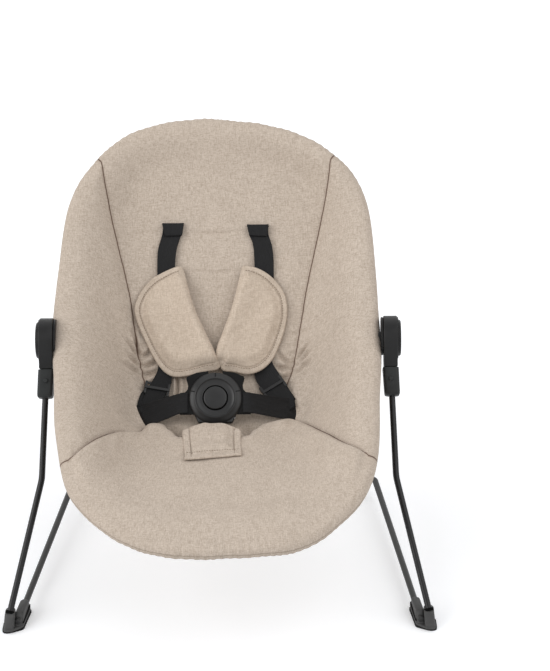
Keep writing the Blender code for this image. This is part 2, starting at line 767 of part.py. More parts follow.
def leg_socket(name, side):
    taper = SOCKET_TAPER
    rings = []
    for l, share, corner in (
        (SOCKET_TOP, 1.0, SOCKET_CORNER),
        (SOCKET_BOTTOM - 5 * MM, 0.5 + taper / 2, SOCKET_CORNER),
        (SOCKET_BOTTOM - 1.5 * MM, taper - 0.03, SOCKET_CORNER),
        (SOCKET_BOTTOM, taper - 0.16, SOCKET_CORNER * 0.8),
    ):
        outline = rounded_box_outline(SOCKET_HALF[0] * share, SOCKET_HALF[1] * share, corner)
        rings.append(side(in_plane(outline, leg_point(ADAPTER_X, 0, l), ACROSS, LEG_FRONT)))
    made = add_object(name, *loft(rings), "plastic", origin=side([leg_point(ADAPTER_X, 0, SOCKET_TOP)])[0])
    pocket = rounded_box_outline(TONGUE_HALF[0] + FIT, TONGUE_HALF[1] + FIT, 2 * MM, 2)
    combine(made, cutter("pocket", *loft([
        side(in_plane(pocket, leg_point(ADAPTER_X, 0, SOCKET_TOP - 5 * MM), ACROSS, LEG_FRONT)),
        side(in_plane(pocket, leg_point(ADAPTER_X, 0, TONGUE_END + FIT * 2), ACROSS, LEG_FRONT)),
    ])))
    path = leg_rod_path()
    along = unit(path[1] - path[0])
    ends = side([path[0] - along * 6 * MM, path[0] + along * 20 * MM])
    combine(made, cutter("rod_bore", *cylinder(ends[0], ends[1], ROD_RADIUS + FIT, sides=12)))
    for l, radius, back in ((LEG_PIN_AT, LEG_PIN_RADIUS + FIT, -20 * MM), (CATCH_AT, CATCH_RADIUS + FIT, 5 * MM)):
        ends = side([leg_point(ADAPTER_X, 20 * MM, l), leg_point(ADAPTER_X, back, l)])
        combine(made, cutter("cross_hole", *cylinder(ends[0], ends[1], radius, sides=14)))


def leg_pin(name, side):
    reach = SOCKET_HALF[1] * (0.5 + SOCKET_TAPER / 2) - 0.6 * MM
    ends = side([leg_point(ADAPTER_X, reach, LEG_PIN_AT), leg_point(ADAPTER_X, -reach, LEG_PIN_AT)])
    add_object(name, *cylinder(ends[0], ends[1], LEG_PIN_RADIUS, sides=10), "steel")


def catch_button(name, side):
    """The catch's thumb pin, which stands a little proud of the socket's front."""
    front = SOCKET_HALF[1] + CATCH_PROUD
    back = TONGUE_HALF[1] - 0.4 * MM
    start = side([leg_point(ADAPTER_X, back, CATCH_AT)])[0]
    profile = [(0, 0.4 * MM), (0, CATCH_RADIUS), (front - back - 0.8 * MM, CATCH_RADIUS),
               (front - back, CATCH_RADIUS - 0.8 * MM), (front - back, 0.4 * MM)]
    points, faces = loft([
        in_plane(circle(radius, 14, 0.5), start + LEG_FRONT * along, ACROSS, LEG_DOWN)
        for along, radius in profile
    ])
    add_object(name, points, faces, "plastic", origin=start)


# Adapter and recline hub


def hub_x(side, x):
    return side([(x, 0.0, 0.0)])[0]


def adapter_housing(name, side):
    ends = (hub_x(side, DRUM_INNER_X), hub_x(side, DRUM_OUTER_X))
    bevel = 1.2 * MM
    width = DRUM_OUTER_X - DRUM_INNER_X
    out = unit(ends[1] - ends[0])
    rings = [
        in_plane(circle(radius, 32, 0.5), ends[0] + out * along, (0, 1, 0), (0, 0, 1))
        for along, radius in ((0, DRUM_RADIUS - bevel), (bevel, DRUM_RADIUS), (width - bevel, DRUM_RADIUS),
                              (width, DRUM_RADIUS - bevel))
    ]
    made = add_object(name, *loft(rings), "plastic")
    half_width = width / 2
    middle_x = (DRUM_INNER_X + DRUM_OUTER_X) / 2
    neck = []
    for l, half in ((12 * MM, NECK_HALF), (27 * MM, NECK_HALF * 0.75), (SOCKET_TOP - FIT * 2, SOCKET_HALF[1])):
        outline = rounded_box_outline(half_width - 0.1 * MM, half, 4 * MM)
        neck.append(side(in_plane(outline, leg_point(middle_x, 0, l), ACROSS, LEG_FRONT)))
    combine(made, cutter("neck", *loft(neck)), "UNION")
    outline = rounded_box_outline(TONGUE_HALF[0], TONGUE_HALF[1], 2 * MM, 2)
    combine(made, cutter("tongue", *loft([
        side(in_plane(outline, leg_point(ADAPTER_X, 0, 30 * MM), ACROSS, LEG_FRONT)),
        side(in_plane(outline, leg_point(ADAPTER_X, 0, TONGUE_END), ACROSS, LEG_FRONT)),
    ])), "UNION")
    floor = hub_x(side, DRUM_INNER_X + DRUM_FLOOR)
    combine(made, cutter("cavity", *cylinder(floor, floor + out * 40 * MM, CAVITY_RADIUS, sides=32)))
    ends = (hub_x(side, DRUM_INNER_X - 5 * MM), hub_x(side, DRUM_OUTER_X))
    combine(made, cutter("axle_bore", *cylinder(ends[0], ends[1], AXLE_RADIUS + FIT, sides=24)))
    groove = side([leg_point(ADAPTER_X, TONGUE_HALF[1], (CATCH_AT + TONGUE_END) / 2)])[0]
    combine(made, cutter("catch_groove", *block(
        groove, (ACROSS, LEG_FRONT, LEG_DOWN),
        (CATCH_RADIUS + 0.6 * MM, 3.2 * MM, (TONGUE_END - CATCH_AT) / 2 + 4 * MM))))


def hub_bracket(name, side):
    """The seat's half of the hub: a saddle on the hoop, a disc, and the axle in the adapter."""
    saddle_x = HOOP_SIDE_X + HOOP_RADIUS * 0.3
    bore = BOLT_RADIUS + FIT
    profile = [
        (saddle_x, bore), (saddle_x, AXLE_RADIUS), (HUB_DISC_INNER_X, AXLE_RADIUS),
        (HUB_DISC_INNER_X, HUB_DISC_RADIUS), (DRUM_INNER_X - FIT, HUB_DISC_RADIUS),
        (DRUM_INNER_X - FIT, AXLE_RADIUS), (AXLE_END_X, AXLE_RADIUS), (AXLE_END_X, bore),
    ]
    points, faces = turned(profile, (0, 0, 0), ACROSS, (0, 0, 1), 24)
    made = add_object(name, side(points), faces, "plastic")
    slope = unit((0, 1, RIM_RISE))
    middle = hub_x(side, HOOP_SIDE_X)
    radius = (HOOP_RADIUS + FIT) / math.cos(math.pi / 16)
    combine(made, cutter("saddle", *cylinder(
        middle - slope * 40 * MM, middle + slope * 40 * MM, radius, sides=16)))


def lock_disc(name, side):
    """The serrated disc that is keyed on the axle."""
    start = DRUM_INNER_X + DRUM_FLOOR + FIT
    outer = []
    inner = []
    steps = LOCK_DISC_TEETH * 4
    for step in range(steps):
        turn = step * 2 * math.pi / steps
        radius = LOCK_DISC_RADIUS - (1.3 * MM if step % 4 in (0, 1) else 0)
        outer.append((radius * math.cos(turn), radius * math.sin(turn)))
        inner.append(((AXLE_RADIUS + FIT) * math.cos(turn), (AXLE_RADIUS + FIT) * math.sin(turn)))
    rings = [
        in_plane(outline, (x, 0, 0), (0, 1, 0), (0, 0, 1))
        for x, outline in ((start, inner), (start, outer), (start + LOCK_DISC_THICKNESS, outer),
                           (start + LOCK_DISC_THICKNESS, inner))
    ]
    points, faces = loft(rings, closed_path=True)
    add_object(name, side(points), faces, "steel")


def pivot_bolt(name, side):
    tip = HOOP_SIDE_X + HOOP_RADIUS - BOLT_DEPTH_IN_HOOP
    seat = AXLE_END_X + FIT
    profile = [(tip, 0.3 * MM), (tip, BOLT_RADIUS), (seat, BOLT_RADIUS), (seat, BOLT_HEAD_RADIUS),
               (seat + BOLT_HEAD, BOLT_HEAD_RADIUS), (seat + BOLT_HEAD, 0.3 * MM)]
    rings = [in_plane(circle(radius, 12, 0.5), (x, 0, 0), (0, 1, 0), (0, 0, 1)) for x, radius in profile]
    points, faces = loft(rings)
    add_object(name, side(points), faces, "steel")


def recline_button(name, side):
    outer = CAVITY_RADIUS - RUNNING
    skirt = BUTTON_OUTER_X - BUTTON_PLATE - BUTTON_SKIRT
    profile = [
        (BUTTON_OUTER_X - BUTTON_PLATE, 0.6 * MM),
        (BUTTON_OUTER_X - BUTTON_PLATE, outer - BUTTON_WALL),
        (skirt, outer - BUTTON_WALL), (skirt, outer),
        (BUTTON_OUTER_X - 1 * MM, outer), (BUTTON_OUTER_X, outer - 1.2 * MM), (BUTTON_OUTER_X, 0.6 * MM),
    ]
    rings = [in_plane(circle(radius, 32, 0.5), (x, 0, 0), (0, 1, 0), (0, 0, 1)) for x, radius in profile]
    points, faces = loft(rings)
    add_object(name, side(points), faces, "plastic", origin=hub_x(side, BUTTON_OUTER_X))


def button_spring(name, side):
    start = DRUM_INNER_X + DRUM_FLOOR + FIT + LOCK_DISC_THICKNESS + FIT
    end = BUTTON_OUTER_X - BUTTON_PLATE - FIT
    points, faces = coil((start, 0, 0), ACROSS, (0, 0, 1), BUTTON_SPRING_RADIUS, BUTTON_SPRING_WIRE,
                         end - start, BUTTON_SPRING_TURNS)
    add_object(name, side(points), faces, "steel")


# Seat hoop and cover


HOOP_SIDE_X = float(np.interp(0, HOOP_HALF[:, 1], HOOP_HALF[:, 0])) * MM


def rim_stations():
    """Hoop middle points with the outward and the normal direction at each."""
    flat, outward = hoop_outline(RIM_STATIONS)
    stations = []
    for (x, y), (out_x, out_y) in zip(flat, outward):
        middle = np.array((x, y, rim_z(y))) * MM
        ny, nz = rim_normal(y)
        normal = np.array((0.0, ny, nz))
        slope = RIM_RISE + 2 * RIM_CURVE * y
        out = unit((out_x, out_y, out_y * slope))
        stations.append((x, y, middle, out, normal))
    return stations


def seat_hoop():
    section = circle(HOOP_RADIUS, HOOP_SIDES)
    rings = [in_plane(section, middle, out, normal) for _, _, middle, out, normal in rim_stations()]
    made = add_object("seat_hoop", *loft(rings, closed_path=True), "rod")
    for sign in (1, -1):
        start = (sign * (HOOP_SIDE_X + HOOP_RADIUS - BOLT_DEPTH_IN_HOOP - FIT), 0, 0)
        end = (sign * (HOOP_SIDE_X + 30 * MM), 0, 0)
        combine(made, cutter("bolt_hole", *cylinder(start, end, BOLT_RADIUS + FIT, sides=12)))


def seat_cover():
    """The padded cover: front skin, roll round the hoop, and back skin, as one closed body."""
    stations = rim_stations()
    channel = HOOP_RADIUS + FIT / math.cos(math.pi / HOOP_SIDES)
    diagonal = math.sqrt(0.5)
    roll = [
        (RIM_ROLL * diagonal, RIM_ROLL * diagonal), (RIM_ROLL, 0), (RIM_ROLL * diagonal, -RIM_ROLL * diagonal),
        (0, -RIM_ROLL), (0, -channel), (channel * diagonal, -channel * diagonal), (channel, 0),
        (channel * diagonal, channel * diagonal), (0, channel), (-channel * diagonal, channel * diagonal),
        (-channel - 1.2 * MM, -2 * MM),
    ]
    spine = [np.array((0.0, min(max(y, CREASE_Y), SPINE_TOP_Y))) for _, y, *_ in stations]
    outer = [np.array((x, y)) for x, y, *_ in stations]

    def ring(share, back):
        points = []
        for start, end in zip(spine, outer):
            x, y = start + share * (end - start)
            if back:
                across, along, out = seat_frame(x, y)
                points.append(seat_point(x, y) - out * PAD_THICKNESS)
            else:
                points.append(seat_point(x, y))
        return np.array(points)

    rings = [ring(share, False) for share in FRONT_RINGS]
    for across, up in roll:
        rings.append(np.array([middle + out * across + normal * up for _, _, middle, out, normal in stations]))
    rings += [ring(share, True) for share in BACK_RINGS]
    points, faces = loft(rings, caps=False)
    count = len(stations)
    last = (len(rings) - 1) * count
    for base in (0, last):
        for step in range(count // 2):
            here, following = step, step + 1
            mirror_here, mirror_following = (count - here) % count, (count - following) % count
            corners = [here, following, mirror_following, mirror_here]
            corners = [base + c for i, c in enumerate(corners) if c not in corners[:i]]
            faces.append(tuple(corners if base == 0 else corners[::-1]))
    made = add_object("seat_cover", points, faces, "fabric")
    for sign in (1, -1):
        start = (sign * (HOOP_SIDE_X - 1 * MM), 0, 0)
        end = (sign * (HOOP_SIDE_X + 30 * MM), 0, 0)
        combine(made, cutter("hub_hole", *cylinder(start, end, AXLE_RADIUS + FIT * 2, sides=16)))
    for place, lengthways in (
        (CROTCH_SLOT, False), (SHOULDER_SLOT, False), (mirror_place(SHOULDER_SLOT), False),
        (WAIST_SLOT, True), (mirror_place(WAIST_SLOT), True),
    ):
        combine(made, slot_cutter(place, lengthways, -45 * MM, 45 * MM, 1 * MM))


def mirror_place(place):
    return (-place[0],) + tuple(place[1:])


def slot_axes(place, lengthways):
    """Directions at a strap slot: its long side, its short side and out of the seat."""
    across, along, out = seat_frame(*place)
    return (along, across, out) if lengthways else (across, along, out)


def slot_cutter(place, lengthways, low, high, room):
    wide, deep, out = slot_axes(place, lengthways)
    middle = seat_point(*place, formed=False) + out * (low + high) / 2
    return cutter("strap_slot", *block(
        middle, (wide, deep, out), (WEB_WIDTH / 2 + room, SLOT_THICKNESS / 2, (high - low) / 2)))


# Harness


def webbing(name, stops, side, room=0.0):
    """A strap through stops of (point, direction across the strap, bend radius); room widens it for a cutter."""
    points = [point for point, _, _ in stops]
    path, whose = rounded_path(points, [radius for _, _, radius in stops[1:-1]], math.radians(35), owners=True)
    tangents = np.gradient(path, axis=0)
    rings = []
    for point, tangent, owner in zip(path, tangents, whose):
        tangent = unit(tangent)
        across = np.array(stops[owner][1], float)
        across = unit(across - (across @ tangent) * tangent)
        up = np.cross(tangent, across)
        half_wide = WEB_WIDTH / 2 + room
        half_thick = WEB_THICKNESS / 2 + room
        outline = [(half_wide, half_thick), (-half_wide, half_thick), (-half_wide, -half_thick),
                   (half_wide, -half_thick)]
        rings.append(side(in_plane(outline, point, across, up)))
    if room:
        return cutter(name, *loft(rings))
    return add_object(name, *loft(rings), "webbing")


def under_seat_stops(place, lengthways, tail):
    """The part of a strap that comes through its slot from a folded end behind the seat."""
    wide, deep, out = slot_axes(place, lengthways)
    low = over_seat(*place, UNDER_SEAT * MM)
    return [(low + deep * tail, wide, 0), (low, wide, 2.5 * MM)], wide, deep, out


def shoulder_stops():
    stops, wide, deep, out = under_seat_stops(SHOULDER_SLOT, False, 13 * MM)
    stops.append((over_seat(*SHOULDER_SLOT, 4.5 * MM), wide, 3 * MM))
    for x, y, height in SHOULDER_RUN:
        stops.append((over_seat(x, y, height * MM), seat_frame(x, y)[0], 20 * MM))
    middle, wide, run, out = adjuster_place()
    rise = ADJUSTER_HALF[2] + WEB_THICKNESS / 2 + FIT * 1.5
    for along, up in ((-11 * MM, -rise), (-7.6 * MM, -rise), (-2.3 * MM, rise), (2.3 * MM, rise),
                      (7.6 * MM, -rise), (11 * MM, -rise)):
        stops.append((middle + run * along + out * up, wide, 0.8 * MM))
    first, last = sewn_end()
    wide = np.cross(waist_run()[2], last - first)
    return stops + [(first, wide, 8 * MM), (last, wide, 0)]


def waist_run():
    """Where the waist strap leaves its tongue, the run from there to its slot, and the direction out of its face."""
    away = TONGUE_HALF_THICKNESS + WEB_THICKNESS / 2 + FIT
    bar = buckle_point(TONGUE_BAR_X + 3 * MM, TONGUE_STRAP_U, away)
    run = over_seat(*WAIST_SLOT, WAIST_STRAP_RISE) - bar
    return bar, run, unit(np.cross(run, BUCKLE_UP))


def sewn_end():
    """The shoulder strap's last run, which lies on the waist strap."""
    bar, run, out = waist_run()
    above = WEB_THICKNESS + 6 * FIT
    return [bar + run * share + BUCKLE_UP * up + out * above for share, up in SHOULDER_END]


def adjuster_place():
    """Middle of the strap adjuster, with directions across the strap, along it and out of it."""
    before = over_seat(*SHOULDER_RUN[-1][:2], SHOULDER_RUN[-1][2] * MM)
    after = sewn_end()[0]
    run = unit(after - before)
    out = unit(BUCKLE_OUT - (BUCKLE_OUT @ run) * run)
    return (before + after) / 2, np.cross(out, run), run, out


def shoulder_strap(name, side):
    webbing(name, shoulder_stops(), side)


def strap_adjuster(name, side):
    middle, across, run, out = adjuster_place()
    outline = rounded_box_outline(ADJUSTER_HALF[0], ADJUSTER_HALF[1], 2 * MM, 1)
    made = add_object(name, *loft([
        side(in_plane(outline, middle - out * ADJUSTER_HALF[2], across, run)),
        side(in_plane(outline, middle + out * ADJUSTER_HALF[2], across, run)),
    ]), "plastic")
    slot = (ADJUSTER_HALF[1] - 2 * MM - ADJUSTER_BAR) / 2
    for sign in (1, -1):
        points, faces = block(
            middle + run * sign * (ADJUSTER_BAR + slot), (across, run, out), (WEB_WIDTH / 2 + FIT, slot, 5 * MM))
        combine(made, cutter("adjuster_slot", side(points), faces))


def shoulder_pad(name, side):
    rings = []
    for (inner, outer, lift, thick) in PAD_ROWS:
        ring = []
        for share, height in PAD_SECTION:
            x = inner[0] + share * (outer[0] - inner[0])
            y = inner[1] + share * (outer[1] - inner[1])
            ring.append(over_seat(x, y, (lift + 10 + (height - 10) * thick) * MM))
        rings.append(side(ring))
    made = add_object(name, *loft(rings), "fabric")
    combine(made, webbing("pad_channel", shoulder_stops()[3:11], side, CHANNEL_ROOM))


def buckle_point(x, u, n):
    up = np.array((0.0, math.sin(BUCKLE_TILT), math.cos(BUCKLE_TILT)))
    return np.array(BUCKLE_CENTRE) + np.array((x, 0, 0)) + up * u + BUCKLE_OUT * n


BUCKLE_OUT = np.array((0.0, -math.cos(BUCKLE_TILT), math.sin(BUCKLE_TILT)))
BUCKLE_UP = np.array((0.0, math.sin(BUCKLE_TILT), math.cos(BUCKLE_TILT)))


def buckle_disc(rings, sides):
    return loft([
        in_plane(circle(radius, sides, 0.5), buckle_point(0, 0, n), ACROSS, BUCKLE_UP) for n, radius in rings
    ])


def buckle_body():
    rings = [
        (BUCKLE_BACK, BUCKLE_RADIUS - 5 * MM), (BUCKLE_BACK + 3 * MM, BUCKLE_RADIUS - 0.5 * MM),
        (0.5 * MM, BUCKLE_RADIUS), (4 * MM, BUCKLE_RADIUS - 2 * MM), (BUCKLE_FRONT, BUCKLE_RADIUS - 9 * MM),
        (BUCKLE_FRONT - 1 * MM, BUCKLE_BUTTON_RADIUS + 3 * MM),
    ]
    made = add_object("buckle_body", *buckle_disc(rings, 32), "plastic")
    half_wide, low, high = BUCKLE_BASE
    outline = [(-half_wide, BUCKLE_BACK + 1 * MM), (half_wide, BUCKLE_BACK + 1 * MM), (half_wide, 3.5 * MM),
               (-half_wide, 3.5 * MM)]
    combine(made, cutter("base", *loft([
        in_plane(outline, buckle_point(0, low, 0), ACROSS, BUCKLE_OUT),
        in_plane(outline, buckle_point(0, high, 0), ACROSS, BUCKLE_OUT),
    ])), "UNION")
    well_radius, well_floor = BUCKLE_WELL
    combine(made, cutter("well", *buckle_disc(((well_floor, well_radius), (20 * MM, well_radius)), 32)))
    for side in (np.array, mirror_x):
        inner_x = TONGUE_TIP_X - FIT
        outer_x = BUCKLE_RADIUS + 16.5 * MM
        points, faces = block(
            buckle_point((inner_x + outer_x) / 2, 0, 0), (ACROSS, BUCKLE_UP, BUCKLE_OUT),
            ((outer_x - inner_x) / 2, TONGUE_TIP_HALF + FIT, TONGUE_HALF_THICKNESS + FIT))
        combine(made, cutter("tongue_pocket", side(points), faces))
    pin_u, pin_n, pin_radius = CROTCH_PIN
    pocket_top = pin_u + 4.5 * MM
    combine(made, cutter("strap_pocket", *block(
        buckle_point(0, pocket_top - 15 * MM, pin_n), (ACROSS, BUCKLE_UP, BUCKLE_OUT),
        (WEB_WIDTH / 2 + 0.6 * MM, 15 * MM, 3.6 * MM))))
    combine(made, cutter("pin_bore", *cylinder(
        buckle_point(-half_wide + 2 * MM, pin_u, pin_n), buckle_point(half_wide - 2 * MM, pin_u, pin_n),
        pin_radius + FIT, sides=10)))


def crotch_pin():
    pin_u, pin_n, pin_radius = CROTCH_PIN
    reach = BUCKLE_BASE[0] - 2.3 * MM
    add_object("crotch_pin", *cylinder(
        buckle_point(-reach, pin_u, pin_n), buckle_point(reach, pin_u, pin_n), pin_radius, sides=10), "steel")


def buckle_button():
    low, high = BUCKLE_BUTTON
    radius = BUCKLE_BUTTON_RADIUS
    rings = ((low, radius), (high - 1 * MM, radius), (high, radius - 1.5 * MM), (high + 0.6 * MM, radius - 6 * MM))
    points, faces = buckle_disc(rings, 28)
    add_object("buckle_button", points, faces, "plastic", origin=buckle_point(0, 0, high))


def buckle_spring():
    floor = BUCKLE_WELL[1] + FIT
    points, faces = coil(buckle_point(0, 0, floor), BUCKLE_OUT, ACROSS, BUCKLE_SPRING_RADIUS, BUTTON_SPRING_WIRE,
                         BUCKLE_BUTTON[0] - FIT - floor, 2)
    add_object("buckle_spring", points, faces, "steel")


def buckle_tongue(name, side):
    outline = [(TONGUE_TIP_X, -TONGUE_TIP_HALF)]
    outline += [(BUCKLE_RADIUS + x * MM, u * MM) for x, u in TONGUE_OUTLINE]
    outline.append((TONGUE_TIP_X, TONGUE_TIP_HALF))
    made = add_object(name, *loft([
        side(in_plane(outline, buckle_point(0, 0, -TONGUE_HALF_THICKNESS), ACROSS, BUCKLE_UP)),
        side(in_plane(outline, buckle_point(0, 0, TONGUE_HALF_THICKNESS), ACROSS, BUCKLE_UP)),
    ]), "plastic", origin=side([buckle_point(TONGUE_BAR_X, 0, 0)])[0])
    (x0, x1), (u0, u1) = TONGUE_SLOT
    points, faces = block(
        buckle_point(BUCKLE_RADIUS + (x0 + x1) / 2 * MM, (u0 + u1) / 2 * MM, 0), (ACROSS, BUCKLE_UP, BUCKLE_OUT),
        ((x1 - x0) / 2 * MM, (u1 - u0) / 2 * MM, 10 * MM))
    combine(made, cutter("strap_slot", side(points), faces))


def waist_strap(name, side):
    stops, wide, deep, out = under_seat_stops(WAIST_SLOT, True, 13 * MM)
    stops.append((over_seat(*WAIST_SLOT, WAIST_STRAP_RISE), wide, 3 * MM))
    bar, run, _ = waist_run()
    stops.append((bar + run * WAIST_TWIST_END, BUCKLE_UP, 4 * MM))
    away = TONGUE_HALF_THICKNESS + WEB_THICKNESS / 2 + FIT
    inner = TONGUE_BAR_X - 4.2 * MM
    for x, n in ((TONGUE_BAR_X + 3 * MM, away), (inner, away), (inner, -away), (TONGUE_BAR_X + 3 * MM, -away),
                 (TONGUE_BAR_X + 16 * MM, -away - 3 * MM)):
        stops.append((buckle_point(x, TONGUE_STRAP_U, n), BUCKLE_UP, 1.6 * MM))
    webbing(name, stops, side)


def crotch_stops():
    stops, wide, deep, out = under_seat_stops(CROTCH_SLOT, False, -13 * MM)
    stops.append((over_seat(*CROTCH_SLOT, CROTCH_STRAP_HEIGHT * MM), wide, 3 * MM))
    stops.append((over_seat(0, -88, CROTCH_STRAP_HEIGHT * MM), wide, 10 * MM))
    pin_u, pin_n, pin_radius = CROTCH_PIN
    away = pin_radius + WEB_THICKNESS / 2 + FIT
    stops.append((buckle_point(0, pin_u - 15 * MM, pin_n + away), wide, 4 * MM))
    for u, n in ((pin_u + away, pin_n + away), (pin_u + away, pin_n - away), (pin_u - 7 * MM, pin_n - away)):
        stops.append((buckle_point(0, u, n), wide, away * 0.95))
    return stops


def crotch_strap():
    webbing("crotch_strap", crotch_stops(), np.array)


def crotch_pad():
    rings = []
    for y, half, thick in CROTCH_PAD_ROWS:
        rings.append([
            over_seat(share * half, y, (7 + (height - 7) * thick) * MM) for share, height in CROTCH_PAD_SECTION
        ])
    made = add_object("crotch_pad", *loft(rings), "fabric")
    combine(made, webbing("pad_channel", crotch_stops()[1:6], np.array, CHANNEL_ROOM))


def strap_keeper(name, side, place, lengthways):
    """The plate behind the seat that a strap's folded end pulls against."""
    wide, deep, out = slot_axes(place, lengthways)
    middle = over_seat(*place, KEEPER_HEIGHT)
    points, faces = block(middle, (wide, deep, out), KEEPER)
    made = add_object(name, side(points), faces, "plastic")
    points, faces = block(middle, (wide, deep, out), (WEB_WIDTH / 2 + FIT, SLOT_THICKNESS / 2, 10 * MM))
    combine(made, cutter("keeper_slot", side(points), faces))


def main():
    clear_scene()
    floor_bar()
    side_pair("leg_rod", leg_rod)
    side_pair("front_foot", foot_body)
    side_pair("foot_pad", foot_pad)
    side_pair("rear_sleeve", rear_sleeve)
    side_pair("leg_socket", leg_socket)
    side_pair("leg_pin", leg_pin)
    side_pair("catch_button", catch_button)
    side_pair("adapter_housing", adapter_housing)
    side_pair("hub_bracket", hub_bracket)
    side_pair("lock_disc", lock_disc)
    side_pair("pivot_bolt", pivot_bolt)
    side_pair("recline_button", recline_button)
    side_pair("button_spring", button_spring)
    seat_hoop()
    seat_cover()
    side_pair("shoulder_strap", shoulder_strap)
    side_pair("shoulder_pad", shoulder_pad)
    side_pair("strap_adjuster", strap_adjuster)
    side_pair("waist_strap", waist_strap)
    side_pair("shoulder_keeper", strap_keeper, SHOULDER_SLOT, False)
    side_pair("waist_keeper", strap_keeper, WAIST_SLOT, True)
    strap_keeper("crotch_keeper", np.array, CROTCH_SLOT, False)
    side_pair("buckle_tongue", buckle_tongue)
    buckle_body()
    crotch_pin()
    buckle_button()
    buckle_spring()
    crotch_strap()
    crotch_pad()
    stand_on_floor()


def stand_on_floor():
    """Parents all to one empty, placed so that the object stands on the floor over the origin."""
    bpy.context.view_layer.update()
    lows, highs = [], []
    for item in bpy.data.objects:
        if item.type == "MESH" and not item.hide_render:
            world = np.array([item.matrix_world @ Vector(corner) for corner in item.bound_box])
            lows.append(world.min(0))
            highs.append(world.max(0))
    low = np.min(lows, axis=0)
    high = np.max(highs, axis=0)
    stand = bpy.data.objects.new("hub_axis", None)
    bpy.context.scene.collection.objects.link(stand)
    for item in list(bpy.data.objects):
        if item is not stand and item.parent is None:
            item.parent = stand
    stand.location = (-(low[0] + high[0]) / 2, -(low[1] + high[1]) / 2, HUB_HEIGHT)
    print("hub axis at", [round(value, 6) for value in stand.location])


main()
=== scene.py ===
"""Newborn bouncer seat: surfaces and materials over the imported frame.

The pieces are worked out in the hub frame, whose origin is the middle of the recline axis, with X to the
side, Y to the rear and Z up, and are then moved to the row frame. A place on the seat is (x, y) in
millimetres: x across, and y along the rim's side curve, with the front negative.
"""

import json
import math

import bmesh
import bpy
import numpy as np
from mathutils import Matrix


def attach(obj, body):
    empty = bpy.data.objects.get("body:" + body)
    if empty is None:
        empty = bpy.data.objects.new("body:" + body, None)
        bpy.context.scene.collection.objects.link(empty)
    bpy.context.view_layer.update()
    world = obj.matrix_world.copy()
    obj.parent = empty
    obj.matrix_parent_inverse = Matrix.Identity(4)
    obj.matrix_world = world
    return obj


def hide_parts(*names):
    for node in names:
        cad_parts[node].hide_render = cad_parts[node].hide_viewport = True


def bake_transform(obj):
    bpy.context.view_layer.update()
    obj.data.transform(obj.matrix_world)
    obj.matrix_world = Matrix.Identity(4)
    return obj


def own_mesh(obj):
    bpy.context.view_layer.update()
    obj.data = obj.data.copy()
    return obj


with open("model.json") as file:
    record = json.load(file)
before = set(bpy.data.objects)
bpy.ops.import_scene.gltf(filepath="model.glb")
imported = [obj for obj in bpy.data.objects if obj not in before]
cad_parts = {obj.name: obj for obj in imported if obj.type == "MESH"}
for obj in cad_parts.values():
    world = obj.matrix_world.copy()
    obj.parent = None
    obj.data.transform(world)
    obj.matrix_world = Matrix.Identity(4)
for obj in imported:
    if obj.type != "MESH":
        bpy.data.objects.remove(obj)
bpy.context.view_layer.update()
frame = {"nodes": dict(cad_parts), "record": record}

MM = 0.001
FIT = 0.3 * MM
UP = (0, 0, 1)
# A direction that no rod or wire runs along
ASKEW = (0.31, 0.2, 0.93)
SIDES = (("right_", 1), ("left_", -1))
ACROSS = np.array((1.0, 0.0, 0.0))
RECLINE = next(joint for joint in frame["record"]["behaviour"]["joints"] if joint["name"] == "seat_recline")
HUB = np.array(RECLINE["pos_m"])
HUB_HEIGHT = HUB[2]

# Wire frame
LEG_LEAN = math.radians(36)
ROD_RADIUS = 4 * MM
LEG_ROD_TOP = 62 * MM
LEG_ROD_TOP_X = 218.3 * MM
LEG_BEND = 176 * MM
LEG_BEND_X = 222.5 * MM
LEG_BEND_RADIUS = 60 * MM
LEG_END_X = 265 * MM
LEG_END = (HUB_HEIGHT - 10 * MM) / math.cos(LEG_LEAN)
ROD_END_CLEARANCE = 9 * MM
FLOOR_ROD_FRONT = (251.5 * MM, -206 * MM, 11.5 * MM)
REAR_CORNER = (203 * MM, 108 * MM, 28 * MM)
REAR_DROP = (176 * MM, 112 * MM, 8.337 * MM)
REAR_BEND_RADIUS = 11 * MM
FOOT_FLOOR = 2.8 * MM
FOOT_TOP = 24 * MM

# Adapters
ADAPTER_X = 217.15 * MM
SOCKET_TOP = 38.3 * MM
SOCKET_BOTTOM = 74 * MM
SOCKET_HALF = (10.1 * MM, 13 * MM)
DRUM_X = (208.3 * MM, 226 * MM)
DRUM_RADIUS = 28 * MM
CAVITY_RADIUS = 23.4 * MM
BUTTON_OUTER_X = 230.5 * MM
SPRING_WIRE = 0.7 * MM
SPRING_TURNS = 3

# Seat, as in the frame's own solid
SEAT_OUTLINE = (
    (0, 265), (90, 255), (128, 241), (180, 195), (201, 99), (205, 8), (203, -76),
    (190, -186), (176, -220), (149, -255), (120, -279), (83, -297), (0, -306),
)
RIM_RISE = 0.5789
RIM_CURVE = 0.493 / 1000
SEAT_DEPTH = (
    (-306, -11), (-280, -17), (-230, -3), (-160, 22), (-100, 58), (-60, 84), (-20, 88),
    (30, 67), (100, 44), (160, 27), (210, 9), (250, -10), (265, -11),
)
SEAT_FLAT = ((-306, 0.78), (-200, 0.62), (-60, 0.42), (60, 0.45), (160, 0.62), (265, 0.8))
CREASE_Y = -60
SPINE_TOP_Y = 140
RIM_ROLL = 11 * MM
PAD_THICKNESS = 18 * MM
# The way round the rim, and the range of y in which the directions on the seat are steady
RIM_LENGTH = 1720
STEADY_Y = (-292, 250)
ROLL_STEPS = 24
WEAVE_STRETCH = 1.18
KEEPER_BULGE = 3.3 * MM

